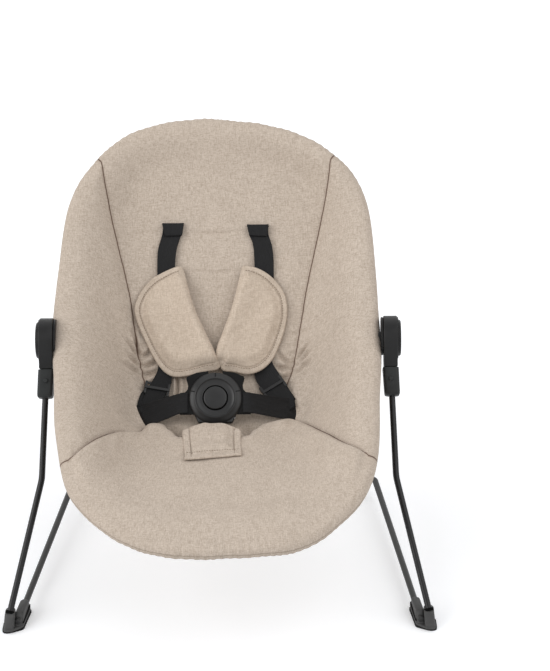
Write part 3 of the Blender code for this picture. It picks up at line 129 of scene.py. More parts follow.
# Marks on the seat, each side by itself because sewn panels are never quite alike
WING_SEAMS = (
    (
        (-159, 230), (-155, 217), (-146, 186), (-139, 157), (-127, 115), (-115, 73), (-109, 41), (-104, 16),
        (-100, 0), (-95, -16),
    ),
    (
        (151, 232), (148, 220), (140, 190), (133, 165), (120, 117), (109, 75), (104, 50), (100, 31), (95, 8),
        (85, -15),
    ),
)
FRONT_SEAMS = (
    (
        (-202, -190), (-193, -181), (-179, -165), (-163, -146), (-151, -130), (-138, -112), (-120, -92),
        (-108, -86), (-101, -83), (-98, -76), (-93, -68), (-85, -64), (-75, -64), (-67, -68), (-60, -76),
        (-50, -87), (-38, -94), (0, -97),
    ),
    (
        (200, -184), (190, -173), (183, -164), (170, -152), (157, -141), (140, -118), (121, -89), (104, -65),
        (91, -57), (76, -60), (62, -63), (48, -70), (38, -79), (30, -91), (0, -97),
    ),
)
CREASE_DEPTH = 1.2
CREASES = (
    ((-124, 26), (-114, 20), (-103, 10), 3.8), ((-112, 40), (-109, 27), (-102, 13), 4.6),
    ((-84, 26), (-92, 20), (-101, 13), 4.2), ((-76, 14), (-88, 9), (-100, 4), 5.0),
    ((-80, 1), (-90, -1), (-99, -5), 4.2), ((-84, -12), (-90, -13), (-96, -15), 3.0),
    ((74, 19), (84, 12), (96, 5), 4.0), ((70, 6), (82, 3), (95, 1), 4.8),
    ((76, -9), (85, -6), (93, -2), 3.4), ((97, 8), (105, 15), (116, 24), 4.8),
    ((96, 3), (105, 8), (119, 16), 4.4), ((93, -4), (104, 0), (120, 3), 3.4),
    ((-120, 10), (-110, 7), (-102, 4), 3.4), ((-126, -2), (-114, -2), (-101, -6), 3.0),
    ((-55, 0), (-54, -14), (-55, -30), 6.0), ((-40, 148), (-7, 145), (26, 148), 1.4),
    ((-39, 106), (-9, 103), (23, 106), 1.4),
)
# How far the fabric stands out from the smooth outline at places along it, on each side, in millimetres
FULLNESS = (
    (
        (-306, -1.0), (-280, -1.8), (-240, -2.8), (-200, -1.4), (-140, -1.6), (-100, 1.0), (-50, 2.6),
        (-10, 5.0), (100, 5.0), (150, 4.4), (205, 2.8), (235, 5.6), (250, 4.8), (265, 1.5),
    ),
    (
        (-306, -0.6), (-297, -2.6), (-282, 2.4), (-245, 1.2), (-215, 1.6), (-180, 1.8), (-130, 0.6),
        (-80, -0.6), (-20, 0.6), (40, -0.8), (205, -1.4), (222, -2.6), (240, -1.8), (265, 0.5),
    ),
)
PITS = (
    (-57, -73, 9, 7, 15.0), (-50, -84, 6, 9, 8.0), (38, -72, 10, 7, 11.0), (36, -84, 5, 8, 6.0),
    (-112, -60, 10, 9, 3.0), (104, -50, 9, 12, 4.0), (-82, -79, 16, 10, -4.0), (82, -72, 15, 10, -3.0),
)


# Mesh helpers


def unit(vectors):
    """A vector, or each row of an array, brought to length 1."""
    vectors = np.array(vectors, float)
    return vectors / np.linalg.norm(vectors, axis=-1, keepdims=True)


def bell(value, width, power=2):
    """A hill of height 1 at 0, which falls off over a width."""
    return np.exp(-(value / width) ** power)


def sine(value, wavelength, shift=0.0):
    return np.sin(value * 2 * math.pi / wavelength + shift)


def smooth(low, high, value):
    t = np.clip((np.asarray(value, float) - low) / (high - low), 0, 1)
    return t * t * (3 - 2 * t)


def walked_along(points):
    """The distance along a line of points to each of them."""
    return np.concatenate([[0], np.cumsum(np.linalg.norm(np.diff(points, axis=0), axis=1))])


def on_side(sign, points):
    """Points of the right side, for the side with the given sign."""
    return np.array(points) * (sign, 1, 1)


def loft(rings, closed_path=False, caps=True):
    """Points and faces of a skin through rings that all have the same number of points."""
    count = len(rings[0])
    faces = []
    for i in range(len(rings) if closed_path else len(rings) - 1):
        a = i * count
        b = (i + 1) % len(rings) * count
        faces += [(a + j, a + (j + 1) % count, b + (j + 1) % count, b + j) for j in range(count)]
    if caps and not closed_path:
        faces.append(tuple(range(count))[::-1])
        faces.append(tuple((len(rings) - 1) * count + j for j in range(count)))
    return np.vstack(rings), faces


def joined(*parts):
    """Several skins as one."""
    points, faces, base = [], [], 0
    for part_points, part_faces in parts:
        points.append(part_points)
        faces += [tuple(base + i for i in face) for face in part_faces]
        base += len(part_points)
    return np.vstack(points), faces


def circle(radius, sides):
    turns = (np.arange(sides) + 0.5) * 2 * math.pi / sides
    return np.stack([radius * np.cos(turns), radius * np.sin(turns)], 1)


def in_plane(outline, centre, across, up):
    outline = np.array(outline, float)
    return np.array(centre) + outline[:, :1] * np.array(across) + outline[:, 1:] * np.array(up)


def rounded_box(half_across, half_up, corner, steps=6):
    corner = min(corner, half_across * 0.95, half_up * 0.95)
    outline = []
    for quarter, (sx, sy) in enumerate(((1, 1), (-1, 1), (-1, -1), (1, -1))):
        for step in range(steps + 1):
            turn = (quarter + step / steps) * math.pi / 2
            outline.append((sx * (half_across - corner) + corner * math.cos(turn),
                            sy * (half_up - corner) + corner * math.sin(turn)))
    return np.array(outline)


def outward_of(outline):
    """The outward direction at each point of a closed flat outline."""
    x, y = (np.roll(outline, -1, 0) - np.roll(outline, 1, 0)).T
    normal = unit(np.stack([y, -x], 1))
    return normal * np.sign(((outline - outline.mean(0)) * normal).sum())


def inset(outline, distance):
    """An outline moved inwards by a small distance."""
    return outline - outward_of(outline) * distance


def plate_rings(outline, low, high, edge, place):
    steps = [(1 - math.sin(turn), 1 - math.cos(turn)) for turn in np.linspace(0, math.pi / 2, 5)]
    rings = [place(inset(outline, edge * a), low + edge * b) for a, b in steps]
    return rings + [place(inset(outline, edge * a), high - edge * b) for a, b in steps[::-1]]


def plate(outline, low, high, edge, place):
    """A plate with round edges between two levels; place turns an outline and a level into points."""
    return loft(plate_rings(outline, low, high, edge, place))


def turned(profile, centre, axis, across, sides=72, ring=False):
    """A solid turned about an axis, or a ring, from (distance along, radius) pairs in millimetres."""
    up = np.cross(axis, across)
    rings = []
    for along, radius in profile:
        middle = np.array(centre) + along * MM * np.array(axis)
        rings.append(in_plane(circle(max(radius, 0.01) * MM, sides), middle, across, up))
    return loft(rings, closed_path=ring)


def quarter_round(start, end, count):
    """Places of a round edge from one (distance along, radius) to another."""
    (a0, r0), (a1, r1) = start, end
    return [(a0 + (a1 - a0) * math.sin(turn), r0 + (r1 - r0) * (1 - math.cos(turn)))
            for turn in np.linspace(0, math.pi / 2, count)]


def block(centre, axes, halves):
    """A box round a centre, from half its size along each of three axes."""
    a, b, c = halves
    outline = [(a, b), (-a, b), (-a, -b), (a, -b)]
    return loft([in_plane(outline, centre + sign * c * axes[2], axes[0], axes[1]) for sign in (-1, 1)])


def rounded_path(corners, radii, arc_step=math.radians(5)):
    """Corner points joined by straight runs, with an arc of the given radius at each inner corner."""
    corners = np.array(corners, float)
    path = [corners[0]]
    for before, corner, after, radius in zip(corners, corners[1:], corners[2:], radii):
        back = unit(before - corner)
        ahead = unit(after - corner)
        half = math.acos(max(-1.0, min(1.0, float(back @ ahead)))) / 2
        if half > math.radians(89):
            path.append(corner)
            continue
        room = 0.48 * min(np.linalg.norm(before - corner), np.linalg.norm(after - corner))
        reach = min(radius / math.tan(half), room)
        radius = reach * math.tan(half)
        steps = max(2, math.ceil((math.pi - 2 * half) / arc_step))
        middle = corner + unit(back + ahead) * radius / math.sin(half)
        for step in range(steps + 1):
            point = corner + (back * (1 - step / steps) + ahead * step / steps) * reach
            path.append(middle + unit(point - middle) * radius)
    return np.array(path + [corners[-1]])


def sweep_frames(path, first_across):
    across = np.array(first_across, float)
    frames = []
    for tangent in unit(np.gradient(path, axis=0)):
        across = unit(across - (across @ tangent) * tangent)
        frames.append((across, np.cross(tangent, across)))
    return frames


def tube(path, section, first_across=ASKEW, sizes=None):
    """A section swept along a path, with its size at each point if it changes."""
    frames = sweep_frames(path, first_across)
    return loft([in_plane(section * size, point, across, up)
                 for size, point, (across, up) in zip(sizes or [1] * len(path), path, frames)])


def curve_through(points, closed=False):
    """A cubic curve through the points, against the distance along them."""
    points = np.array(points, float)
    along = walked_along(np.vstack([points, points[:1]]) if closed else points)
    gaps = np.diff(along)
    count = len(points)
    matrix = np.zeros((count, count))
    right = np.zeros(points.shape)
    for i in range(count):
        if not closed and i in (0, count - 1):
            matrix[i, i] = 1
            continue
        before = gaps[i - 1]
        after = gaps[i]
        following = (i + 1) % count
        matrix[i, i - 1] += before
        matrix[i, i] += 2 * (before + after)
        matrix[i, following] += after
        right[i] = 6 * ((points[following] - points[i]) / after - (points[i] - points[i - 1]) / before)
    bends = np.linalg.solve(matrix, right)

    def at(distance):
        if closed:
            distance = distance % along[-1]
        i = np.clip(np.searchsorted(along, distance, side="right") - 1, 0, len(gaps) - 1)
        j = (i + 1) % count
        done = (distance - along[i])[:, None]
        gap = gaps[i][:, None]
        left = gap - done
        return (bends[i] * left**3 + bends[j] * done**3) / (6 * gap) \
            + (points[i] / gap - bends[i] * gap / 6) * left \
            + (points[j] / gap - bends[j] * gap / 6) * done

    return at, along[-1]


def evenly(points, count, closed=False):
    """Points evenly spaced along the smooth curve through some driving points."""
    at, length = curve_through(points, closed)
    fine = np.linspace(0, length, 4001)
    walked = walked_along(at(fine))
    return at(np.interp(np.linspace(0, walked[-1], count, endpoint=not closed), walked, fine))


def value_along(table):
    """A smooth function through (place, value) pairs."""
    places, values = np.array(table, float).T
    gaps = np.diff(places)
    steps = np.diff(values) / gaps
    inner = (steps[:-1] * gaps[1:] + steps[1:] * gaps[:-1]) / (gaps[1:] + gaps[:-1])
    slopes = np.concatenate([steps[:1], inner, steps[-1:]])

    def at(place):
        place = np.clip(place, places[0], places[-1])
        i = np.clip(np.searchsorted(places, place, side="right") - 1, 0, len(gaps) - 1)
        gap = gaps[i]
        t = (place - places[i]) / gap
        return values[i] * (2 * t**3 - 3 * t**2 + 1) + slopes[i] * gap * (t**3 - 2 * t**2 + t) \
            + values[i + 1] * (3 * t**2 - 2 * t**3) + slopes[i + 1] * gap * (t**3 - t**2)

    return at


# Materials. Cloth pieces carry their place in the weave, in millimetres, as an attribute


def new_material(name, slot, colour, roughness, **sockets):
    made = bpy.data.materials.new(name)
    made.use_nodes = True
    shader = made.node_tree.nodes["Principled BSDF"]
    shader.inputs["Base Color"].default_value = (*colour, 1)
    shader.inputs["Roughness"].default_value = roughness
    for key, value in sockets.items():
        shader.inputs[key.replace("_", " ")].default_value = value
    made.diffuse_color = (*colour, 1)
    return made, made.node_tree, shader


def node(tree, kind, settings=(), **inputs):
    """A shader node, with numbers or other nodes' sockets for its inputs."""
    made = tree.nodes.new("ShaderNode" + kind)
    for key, value in dict(settings).items():
        setattr(made, key, value)
    for key, value in inputs.items():
        socket = made.inputs[int(key[1:]) if key[0] == "i" and key[1:].isdigit() else key.replace("_", " ")]
        if isinstance(value, bpy.types.NodeSocket):
            tree.links.new(value, socket)
        else:
            socket.default_value = value
    return made


def maths(tree, operation, a, b=0.0):
    return node(tree, "Math", {"operation": operation}, i0=a, i1=b).outputs[0]


def weighted(tree, *terms):
    """The sum of some values, each with its weight."""
    parts = [maths(tree, "MULTIPLY", value, weight) for value, weight in terms]
    total = parts[0]
    for part in parts[1:]:
        total = maths(tree, "ADD", total, part)
    return total


def ripples(tree, value, wavelength):
    return maths(tree, "SINE", maths(tree, "MULTIPLY", value, 2 * math.pi / wavelength))


def noise(tree, place, scale, detail, rough, bend=0.0):
    """Noise over a place in millimetres, stretched by the given scale."""
    moved = node(tree, "Mapping", Vector=place, Scale=(*scale, 1)).outputs[0]
    return node(tree, "TexNoise", Vector=moved, Scale=1.0, Detail=detail, Roughness=rough,
                Distortion=bend).outputs["Fac"]


def ranged(tree, value, low, high, to_low=0.0, to_high=1.0):
    return node(tree, "MapRange", {"interpolation_type": "SMOOTHSTEP"}, Value=value, From_Min=low,
                From_Max=high, To_Min=to_low, To_Max=to_high).outputs[0]


def mixed(tree, share, first, second):
    """Two colours mixed by a share, each of them a socket or a plain colour."""
    ends = [value if isinstance(value, bpy.types.NodeSocket) else (*value, 1) for value in (first, second)]
    return node(tree, "Mix", {"data_type": "RGBA"}, i0=share, i6=ends[0], i7=ends[1]).outputs[2]


def tint(colour, factor):
    return tuple(min(1.0, factor * c) for c in colour)


def attribute(tree, name):
    """An attribute of the mesh, and its three parts."""
    place = node(tree, "Attribute", {"attribute_name": name}).outputs["Vector"]
    return place, list(node(tree, "SeparateXYZ", Vector=place).outputs)


def bumped(tree, shader, strength, distance, height):
    bump = node(tree, "Bump", Strength=strength, Distance=distance, Height=height)
    tree.links.new(bump.outputs[0], shader.inputs["Normal"])


def worn(tree, shader, by, colour, lighter, low, high, smoothest, roughest):
    """Lets a noise change a surface's colour and gloss."""
    tree.links.new(mixed(tree, ranged(tree, by, low, high), colour, tint(colour, lighter)),
                   shader.inputs["Base Color"])
    tree.links.new(ranged(tree, by, 0.3, 0.7, smoothest, roughest), shader.inputs["Roughness"])


def fabric_material(name, light, dark, seams=False):
    """Melange linen: thin threads both ways with longer slubs in them, in cream and tan."""
    made, tree, shader = new_material(name, "fabric", light, 0.92, Sheen_Weight=0.08, Sheen_Roughness=0.5,
                                      Specular_IOR_Level=0.15)
    place, parts = attribute(tree, "cloth")
    weft = noise(tree, place, (0.16, 1.25), 2, 0.6, 1.3)
    warp = noise(tree, place, (1.25, 0.14), 2, 0.6, 1.3)
    fine = noise(tree, place, (1.1, 1.3), 1, 0.6, 0.5)
    blotch = noise(tree, place, (0.03, 0.03), 2, 0.5)
    threads = weighted(tree, (weft, 0.52), (warp, 0.48))
    layers = [
        (ranged(tree, maths(tree, "MAXIMUM", weft, warp), 0.62, 0.76, 0.0, 0.3), tint(light, 1.2)),
        (ranged(tree, maths(tree, "MINIMUM", weft, warp), 0.40, 0.28, 0.0, 0.3), tint(dark, 0.7)),
        (ranged(tree, fine, 0.35, 0.65, 0.14, 0.0), tint(dark, 0.6)),
        (ranged(tree, blotch, 0.35, 0.65, 0.0, 0.07), tint(dark, 0.8)),
    ]
    if seams:
        wing, front, hem = [maths(tree, "ABSOLUTE", part) for part in attribute(tree, "seams")[1]]
        near = maths(tree, "MINIMUM", wing, front)
        layers += [
            (ranged(tree, near, 1.0, 0.35, 0.0, 0.9), (0.07, 0.038, 0.025)),
            # Painted shade: a wider soft darkening on each side of the wing and front seams, for the shade in
            # their valleys; the thin line above it is the seam's own dark stitching
            (ranged(tree, near, 3.6, 0.7, 0.0, 0.16), (0.17, 0.1, 0.07)),
            (ranged(tree, hem, 1.3, 0.4, 0.0, 0.5), (0.16, 0.12, 0.09)),
        ]
    colour = mixed(tree, ranged(tree, threads, 0.40, 0.60), dark, light)
    for share, shade in layers:
        colour = mixed(tree, share, colour, shade)
    tree.links.new(colour, shader.inputs["Base Color"])
    weave = maths(tree, "MULTIPLY", ripples(tree, parts[0], 1.1), ripples(tree, parts[1], 1.1))
    bumped(tree, shader, 0.4, 0.0002, weighted(tree, (weave, 0.25), (threads, 1.3), (fine, 0.6)))
    return made


def webbing_material(name, colour):
    """Smooth black webbing with fine ribs along it and a twill between them."""
    made, tree, shader = new_material(name, "webbing", colour, 0.55, Sheen_Weight=0.04, Sheen_Roughness=0.35,
                                      Specular_IOR_Level=0.16)
    place, parts = attribute(tree, "cloth")
    ribs = ripples(tree, parts[1], 2.2)
    twill = ripples(tree, weighted(tree, (parts[0], 1.0), (parts[1], 1.6)), 1.1)
    bumped(tree, shader, 0.5, 0.00018, weighted(tree, (ribs, 1.0), (twill, 0.7)))
    worn(tree, shader, noise(tree, place, (0.1, 0.4), 3, 0.6), colour, 1.7, 0.4, 0.7, 0.5, 0.68)
    return made


def moulded_material(name, slot, colour, roughness, grain=0.00004, lighter=1.35, metallic=0.0, shine=0.2):
    """Moulded or painted surface with a fine grain and a slow change of gloss."""
    made, tree, shader = new_material(name, slot, colour, roughness, Metallic=metallic,
                                      Specular_IOR_Level=shine)
    place = node(tree, "TexCoord").outputs["Object"]
    fine = node(tree, "TexNoise", Vector=place, Scale=900.0, Detail=3.0).outputs["Fac"]
    slow = node(tree, "TexNoise", Vector=place, Scale=45.0, Detail=2.0).outputs["Fac"]
    bumped(tree, shader, 0.4, grain, fine)
    worn(tree, shader, slow, colour, lighter, 0.35, 0.65, roughness - 0.05, roughness + 0.07)
    return made


LINEN_LIGHT = (0.575, 0.495, 0.42)
LINEN_DARK = (0.405, 0.335, 0.272)
FABRIC = fabric_material("linen", LINEN_LIGHT, LINEN_DARK, seams=True)
FABRIC_PLAIN = fabric_material("linen_plain", LINEN_LIGHT, LINEN_DARK)
# The pads' linen is a lighter copy of the seat's: painted light for the extra light the padded tops catch
LIT_PAD_FABRIC = fabric_material("linen_pads_painted_light", (0.61, 0.514, 0.423), (0.465, 0.38, 0.3))
TAPE = fabric_material("linen_tape", (0.575, 0.487, 0.402), (0.445, 0.366, 0.292))
THREAD = new_material("thread", "fabric", (0.2, 0.145, 0.105), 0.7)[0]
WEBBING = webbing_material("webbing_black", (0.008, 0.008, 0.0085))
HOUSING = moulded_material("plastic_black", "plastic", (0.009, 0.009, 0.0092), 0.4, shine=0.22)
SOCKET = moulded_material("plastic_charcoal", "plastic", (0.0165, 0.018, 0.018), 0.5, shine=0.22)
BUCKLE = moulded_material("plastic_satin", "plastic", (0.009, 0.009, 0.0093), 0.33, shine=0.36)
TONGUE = moulded_material("plastic_matt", "plastic", (0.005, 0.005, 0.005), 0.5, shine=0.1)
# Near-black and almost without shine: painted shade, for the mouths of the feet, the feet's inner recesses
# and the buckle's notches
SHADE = moulded_material("painted_shade_black", "plastic", (0.002, 0.002, 0.002), 0.7, shine=0.05)
ROD = moulded_material("paint_black", "rod", (0.006, 0.006, 0.0065), 0.24, grain=0.00002, shine=0.3)
FLOOR_ROD = moulded_material("paint_grey", "rod", (0.026, 0.026, 0.026), 0.4, grain=0.00002, shine=0.3)
FOOT = moulded_material("plastic_grey", "plastic", (0.045, 0.045, 0.045), 0.5, shine=0.3)
RUBBER = moulded_material("rubber_black", "rubber", (0.012, 0.012, 0.012), 0.8, grain=0.00008)
STEEL = moulded_material("steel_bright", "steel", (0.55, 0.55, 0.56), 0.3, grain=0.00001, lighter=1.1,
                         metallic=1.0)
# Edges that are sharper than this are beveled, or kept sharp where a shape is cut out
EDGE_ANGLE = math.radians(35)


def in_scene(name, data):
    item = bpy.data.objects.new(name, data)
    bpy.context.scene.collection.objects.link(item)
    return item


def mesh_of(name, skin):
    """A mesh in the row frame, whose faces all look outwards."""
    points, faces = skin
    mesh = bpy.data.meshes.new(name)
    mesh.from_pydata((points + HUB).tolist(), [], faces)
    work = bmesh.new()
    work.from_mesh(mesh)
    bmesh.ops.recalc_face_normals(work, faces=work.faces)
    work.to_mesh(mesh)
    work.free()
    return mesh


def piece(name, skin, material, body, nodes=(), sharp=40, **values):
    """A shown piece that rides on a body if one is named, with its attributes given point by point."""
    mesh = mesh_of(name, skin)
    mesh.shade_smooth()
    if sharp:
        mesh.set_sharp_from_angle(angle=math.radians(sharp))
    for key, rows in values.items():
        made = mesh.attributes.new(key, "FLOAT_VECTOR", "POINT")
        made.data.foreach_set("vector", np.array(rows, np.float32).ravel())
    mesh.materials.append(material)
    item = in_scene(name, mesh)
    if body:
        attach(item, body)
    if nodes:
        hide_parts(*nodes)
    return item


def cut(item, skin):
    """Takes a shape out of a piece."""
    other = in_scene("cut", mesh_of("cut", skin))
    step = item.modifiers.new("cut", "BOOLEAN")
    step.operation = "DIFFERENCE"
    step.solver = "EXACT"
    step.object = other
    bpy.context.view_layer.update()
    result = bpy.data.meshes.new_from_object(item.evaluated_get(bpy.context.evaluated_depsgraph_get()))
    item.modifiers.clear()
    item.data = result
    result.shade_smooth()
    result.set_sharp_from_angle(angle=EDGE_ANGLE)
    bpy.data.objects.remove(other)


def bevel(item, width, segments=3):
    step = item.modifiers.new("edges", "BEVEL")
    step.width = width
    step.segments = segments
    step.limit_method = "ANGLE"
    step.angle_limit = EDGE_ANGLE


# Seat surface


depth_at = value_along(SEAT_DEPTH)
flat_at = value_along(SEAT_FLAT)


def rim_z(y):
    return RIM_RISE * y + RIM_CURVE * y * y


def rim_slope(y):
    return RIM_RISE + 2 * RIM_CURVE * y


def rim_normal(y):
    slope = rim_slope(y)
    length = np.sqrt(1 + slope * slope)
    return -slope / length, 1 / length


def hoop_outline(count):
    """The line of the hoop's middle, inside the outer fabric edge, and the outward direction along it."""
    outline = list(SEAT_OUTLINE) + [(-x, y) for x, y in SEAT_OUTLINE[1:-1][::-1]]
    edge = evenly(outline, count, closed=True)
    outward = outward_of(edge)
    return edge - RIM_ROLL / MM * outward, outward


HOOP_FINE = hoop_outline(720)[0]
HOOP_HALF = HOOP_FINE[HOOP_FINE[:, 0] >= -1e-6]
HOOP_X, HOOP_Y = HOOP_HALF[np.argsort(HOOP_HALF[:, 1])].T


def share_of_reach(x, y):
    """How far out a place lies, from 0 on the spine to 1 on the hoop."""
    x = np.abs(x)

    def fan(spine_y):
        angles = np.arctan2(HOOP_Y - spine_y, HOOP_X)
        order = np.argsort(angles)
        reaches = np.hypot(HOOP_X, HOOP_Y - spine_y)[order]
        return np.hypot(x, y - spine_y) / np.interp(np.arctan2(y - spine_y, x), angles[order], reaches)

    across = x / np.maximum(np.interp(y, HOOP_Y, HOOP_X), 1e-6)
    return np.where(y < CREASE_Y, fan(CREASE_Y), np.where(y > SPINE_TOP_Y, fan(SPINE_TOP_Y), across))


def seat_point(x, y):
    """A point of the seat's smooth front surface."""
    reach = np.clip(share_of_reach(x, y), 0, 1)
    flat = flat_at(y)
    t = np.clip((reach - flat) / (1 - flat), 0, 1)
    rise = t * t * t * (t * (6 * t - 15) + 10)
    lift = -depth_at(y) * MM * (1 - rise) + RIM_ROLL * rise
    normal_y, normal_z = rim_normal(y)
    return np.stack([x * MM, y * MM + normal_y * lift, rim_z(y) * MM + normal_z * lift], -1)


def seat_frame(x, y):
    """Directions on the seat's surface at places: across, along and out of it."""
    step = 4.0
    across = seat_point(x + step, y) - seat_point(x - step, y)
    along = seat_point(x, y + step) - seat_point(x, y - step)
    return unit(across), unit(along), unit(np.cross(across, along))


def over_seat(x, y, height):
    """Points at a true height over the seat's surface."""
    return seat_point(x, y) + seat_frame(x, y)[2] * np.asarray(height, float)[..., None]


def line_distance(x, y, line):
    """Signed distance from places to a line, and how far along it the nearest place is, from 0 to 1."""
    here = np.stack([x, y], -1)
    best = np.full(x.shape, 1e9)
    sign = np.ones(x.shape)
    where = np.zeros(x.shape)
    for number, (start, end) in enumerate(zip(line, line[1:])):
        run = end - start
        to = here - start
        share = np.clip((to @ run) / (run @ run), 0, 1)
        away = np.linalg.norm(to - share[..., None] * run, axis=-1)
        nearer = away < best
        best = np.where(nearer, away, best)
        sign = np.where(nearer, np.sign(run[0] * to[..., 1] - run[1] * to[..., 0]), sign)
        where = np.where(nearer, (number + share) / (len(line) - 1), where)
    return best * np.where(sign == 0, 1, sign), where


def waves(x, y, seed, wavelength, count=7):
    """Slow hills and hollows, from -1 to 1, that are the same in each run."""
    dice = np.random.default_rng(seed)
    total = np.zeros(np.shape(x))
    for _ in range(count):
        turn = dice.uniform(0, 2 * math.pi)
        length = wavelength * dice.uniform(0.7, 1.5)
        total += sine(np.cos(turn) * x + np.sin(turn) * y, length, dice.uniform(0, 2 * math.pi))
    return total / count * 1.6


WING_LINES = [evenly(line, 60) for line in WING_SEAMS]
FRONT_LINES = [evenly(line, 90) for line in FRONT_SEAMS]
CREASE_LINES = [(evenly(row[:3], 12), row[3]) for row in CREASES]


def seat_relief(x, y, reach):
    """Height in millimetres that sewing and padding give the front, and its signed distances to the seams."""
    left = x < 0
    wings = [line_distance(x, y, line)[0] for line in WING_LINES]
    wing = np.where(left, -wings[0], wings[1])
    fronts = [line_distance(x, y, line)[0] for line in FRONT_LINES]
    front = np.where(left, fronts[0], -fronts[1])
    rim = smooth(0, 0.07, 1 - reach)
    height = 0.65 * waves(x, y, 3, 95) + 0.35 * waves(x, y, 5, 36)
    # Wing seams: a soft valley with a tight stitched line in it, the wing fuller than the middle
    away = np.abs(wing)
    height -= rim * (2.3 * bell(away, 7, 1.3) + 1.2 * bell(wing, 1.9))
    height += rim * np.where(wing > 0, 1.6, 0.5) * bell(away - 15, 9)
    gather = sine(y, 10.5, 2 * np.sin(y / 17)) + 0.6 * sine(y, 6.7, np.sin(y / 11))
    height += rim * (0.25 + 0.55 * bell(y - 15, 55)) * bell(away - 6, 5) * gather
    # Front panel: it stands up over its own seam
    below = front < 0
    away = np.abs(front)
    panel = np.where(below, 5 * (1 - np.exp(-away / 3.2)) * (1 - 0.8 * smooth(10, 50, away)),
                     -3 * bell(away, 11, 1.4))
    height += rim * (panel - 1.5 * bell(away, 2))
    fold = sine(x, 23, 1.5 * np.sin(x / 19)) * bell(away - 12, 9)
    height += rim * 0.7 * fold * below * smooth(30, 60, np.abs(x))
    # Creases that run out from the seams, and hollows beside the buckle
    for line, depth in CREASE_LINES:
        off, along = line_distance(x, y, line)
        fade = np.sin(np.clip(along, 0.02, 0.98) * math.pi) ** 0.6
        height += fade * CREASE_DEPTH * depth * (0.4 * bell(np.abs(off) - 4.6, 2.4) - bell(off, 1.9))
    for middle_x, middle_y, wide, tall, depth in PITS:
        height -= depth * bell(x - middle_x, wide) * bell(y - middle_y, tall)
    return height, wing, front


SEAT_STATIONS = 960
BACK_SHARES = (*np.linspace(0.985, 0.88, 8), *np.linspace(0.84, 0.12, 19), 0.07, 0.03)
KEEPERS = ((57, 155), (-57, 155), (101, -48), (-101, -48), (0, -140))


def seat_cover():
    """The padded cover as one closed skin: front, roll round the hoop, gathered hem and back."""
    count = SEAT_STATIONS
    flat, outward = hoop_outline(count)
    edge_x, edge_y = flat.T
    spine_y = np.clip(edge_y, CREASE_Y, SPINE_TOP_Y)
    run_y = edge_y - spine_y
    normal = np.stack([np.zeros(count), *rim_normal(edge_y)], 1)
    middle = np.stack([edge_x, edge_y, rim_z(edge_y)], 1) * MM
    out = unit(np.stack([outward[:, 0], outward[:, 1], outward[:, 1] * rim_slope(edge_y)], 1))

    def outwards(x, y):
        return seat_frame(x, np.clip(y, *STEADY_Y))[2]

    # Gathers of the elastic hem, strongest at the head and the foot end
    walk = np.arange(count) / count * RIM_LENGTH
    ends = smooth(150, 235, edge_y) + smooth(-215, -290, edge_y)
    gather = sine(walk, 10.5, 2.2 * np.sin(walk / 31) + 1.3 * np.sin(walk / 13.7))
    slow = sine(walk, 47, 1.7 * np.sin(walk / 77))
    ripple = (0.06 + 0.5 * ends) * (0.6 * gather + 0.5 * slow) + 0.35 * np.sin(walk / 23 + np.sin(walk / 61))

    shares = np.concatenate([np.linspace(0.01, 0.3, 30), np.linspace(0.308, 0.97, 106), (0.98, 0.99, 1.0)])
    rows = shares[:, None]
    x = rows * edge_x
    y = spine_y + rows * run_y
    relief, wing, front = seat_relief(x, y, rows)
    relief = relief * (1 - smooth(0.95, 1.0, rows)) + 0.8 * smooth(0.86, 1.0, rows) * ripple
    rings = list(seat_point(x, y) + outwards(x, y) * (relief * MM)[..., None])
    far = np.full(count, 50.0)
    seams = [np.stack([a, b, far], 1) for a, b in zip(wing, front)]
    low_end = smooth(-150, -215, edge_y)
    for turn in np.linspace(math.pi / 2, -math.pi / 2, ROLL_STEPS + 1)[1:]:
        radius = (RIM_ROLL + ripple * MM * (0.8 + 0.3 * math.cos(turn)))[:, None]
        rings.append(middle + out * radius * math.cos(turn) + normal * radius * math.sin(turn))
        from_hem = np.abs((turn - 0.1) * RIM_ROLL / MM)
        seams.append(np.stack([wing[-1], front[-1], from_hem + 30 * (1 - low_end)], 1))
    for share in BACK_SHARES:
        x = share * edge_x
        y = spine_y + share * run_y
        thick = PAD_THICKNESS + (2 * RIM_ROLL - PAD_THICKNESS) * smooth(0.9, 0.985, share)
        for keeper_x, keeper_y in KEEPERS:
            thick = thick + KEEPER_BULGE * bell(np.hypot(x - keeper_x, y - keeper_y), 27, 4)
        hem = 1.4 * smooth(0.72, 0.9, share) * (1 - smooth(0.93, 0.98, share)) * (gather + 0.6 * slow)
        low = 1.2 * waves(x, y, 9, 80) * (1 - share) + hem - 3 * bell(share - 0.915, 0.02)
        rings.append(seat_point(x, y) - outwards(x, y) * (thick + low * MM)[:, None])
        seams.append(np.stack([far, far, far], 1))

    # The fabric's outline differs a little from the hoop's
    left, right = (value_along(table)(edge_y) for table in FULLNESS)
    fuller = (left + (right - left) * smooth(-25, 25, edge_x)) * MM
    rings = [ring + out * (fuller * smooth(0.72, 1.0, share))[:, None]
             for ring, share in zip(rings, (*shares, *np.ones(ROLL_STEPS), *BACK_SHARES))]
    points, faces = loft(rings, caps=False)
    last = (len(rings) - 1) * count
    for base in (0, last):
        for step in range(count // 2):
            corners = [step, step + 1, (count - step - 1) % count, (count - step) % count]
            corners = [base + c for i, c in enumerate(corners) if c not in corners[:i]]
            if len(corners) > 2:
                faces.append(tuple(corners if base == 0 else corners[::-1]))

    # The weave's own place: distance walked over the surface from the spine, in each ring's direction
    steps = np.linalg.norm(np.diff(rings, axis=0), axis=2) / MM
    walked = np.cumsum(np.vstack([np.hypot(edge_x, run_y) * shares[0], steps]), axis=0)
    across, along = unit(np.stack([edge_x, run_y * WEAVE_STRETCH], 1)).T
    cloth = np.stack([walked * across, spine_y * WEAVE_STRETCH + walked * along, walked * 0], -1)
    item = piece("seat_fabric", (points, faces), FABRIC, "seat", ("seat_cover",), sharp=0,
                 cloth=cloth.reshape(-1, 3), seams=np.vstack(seams))


# Frame, adapters and feet


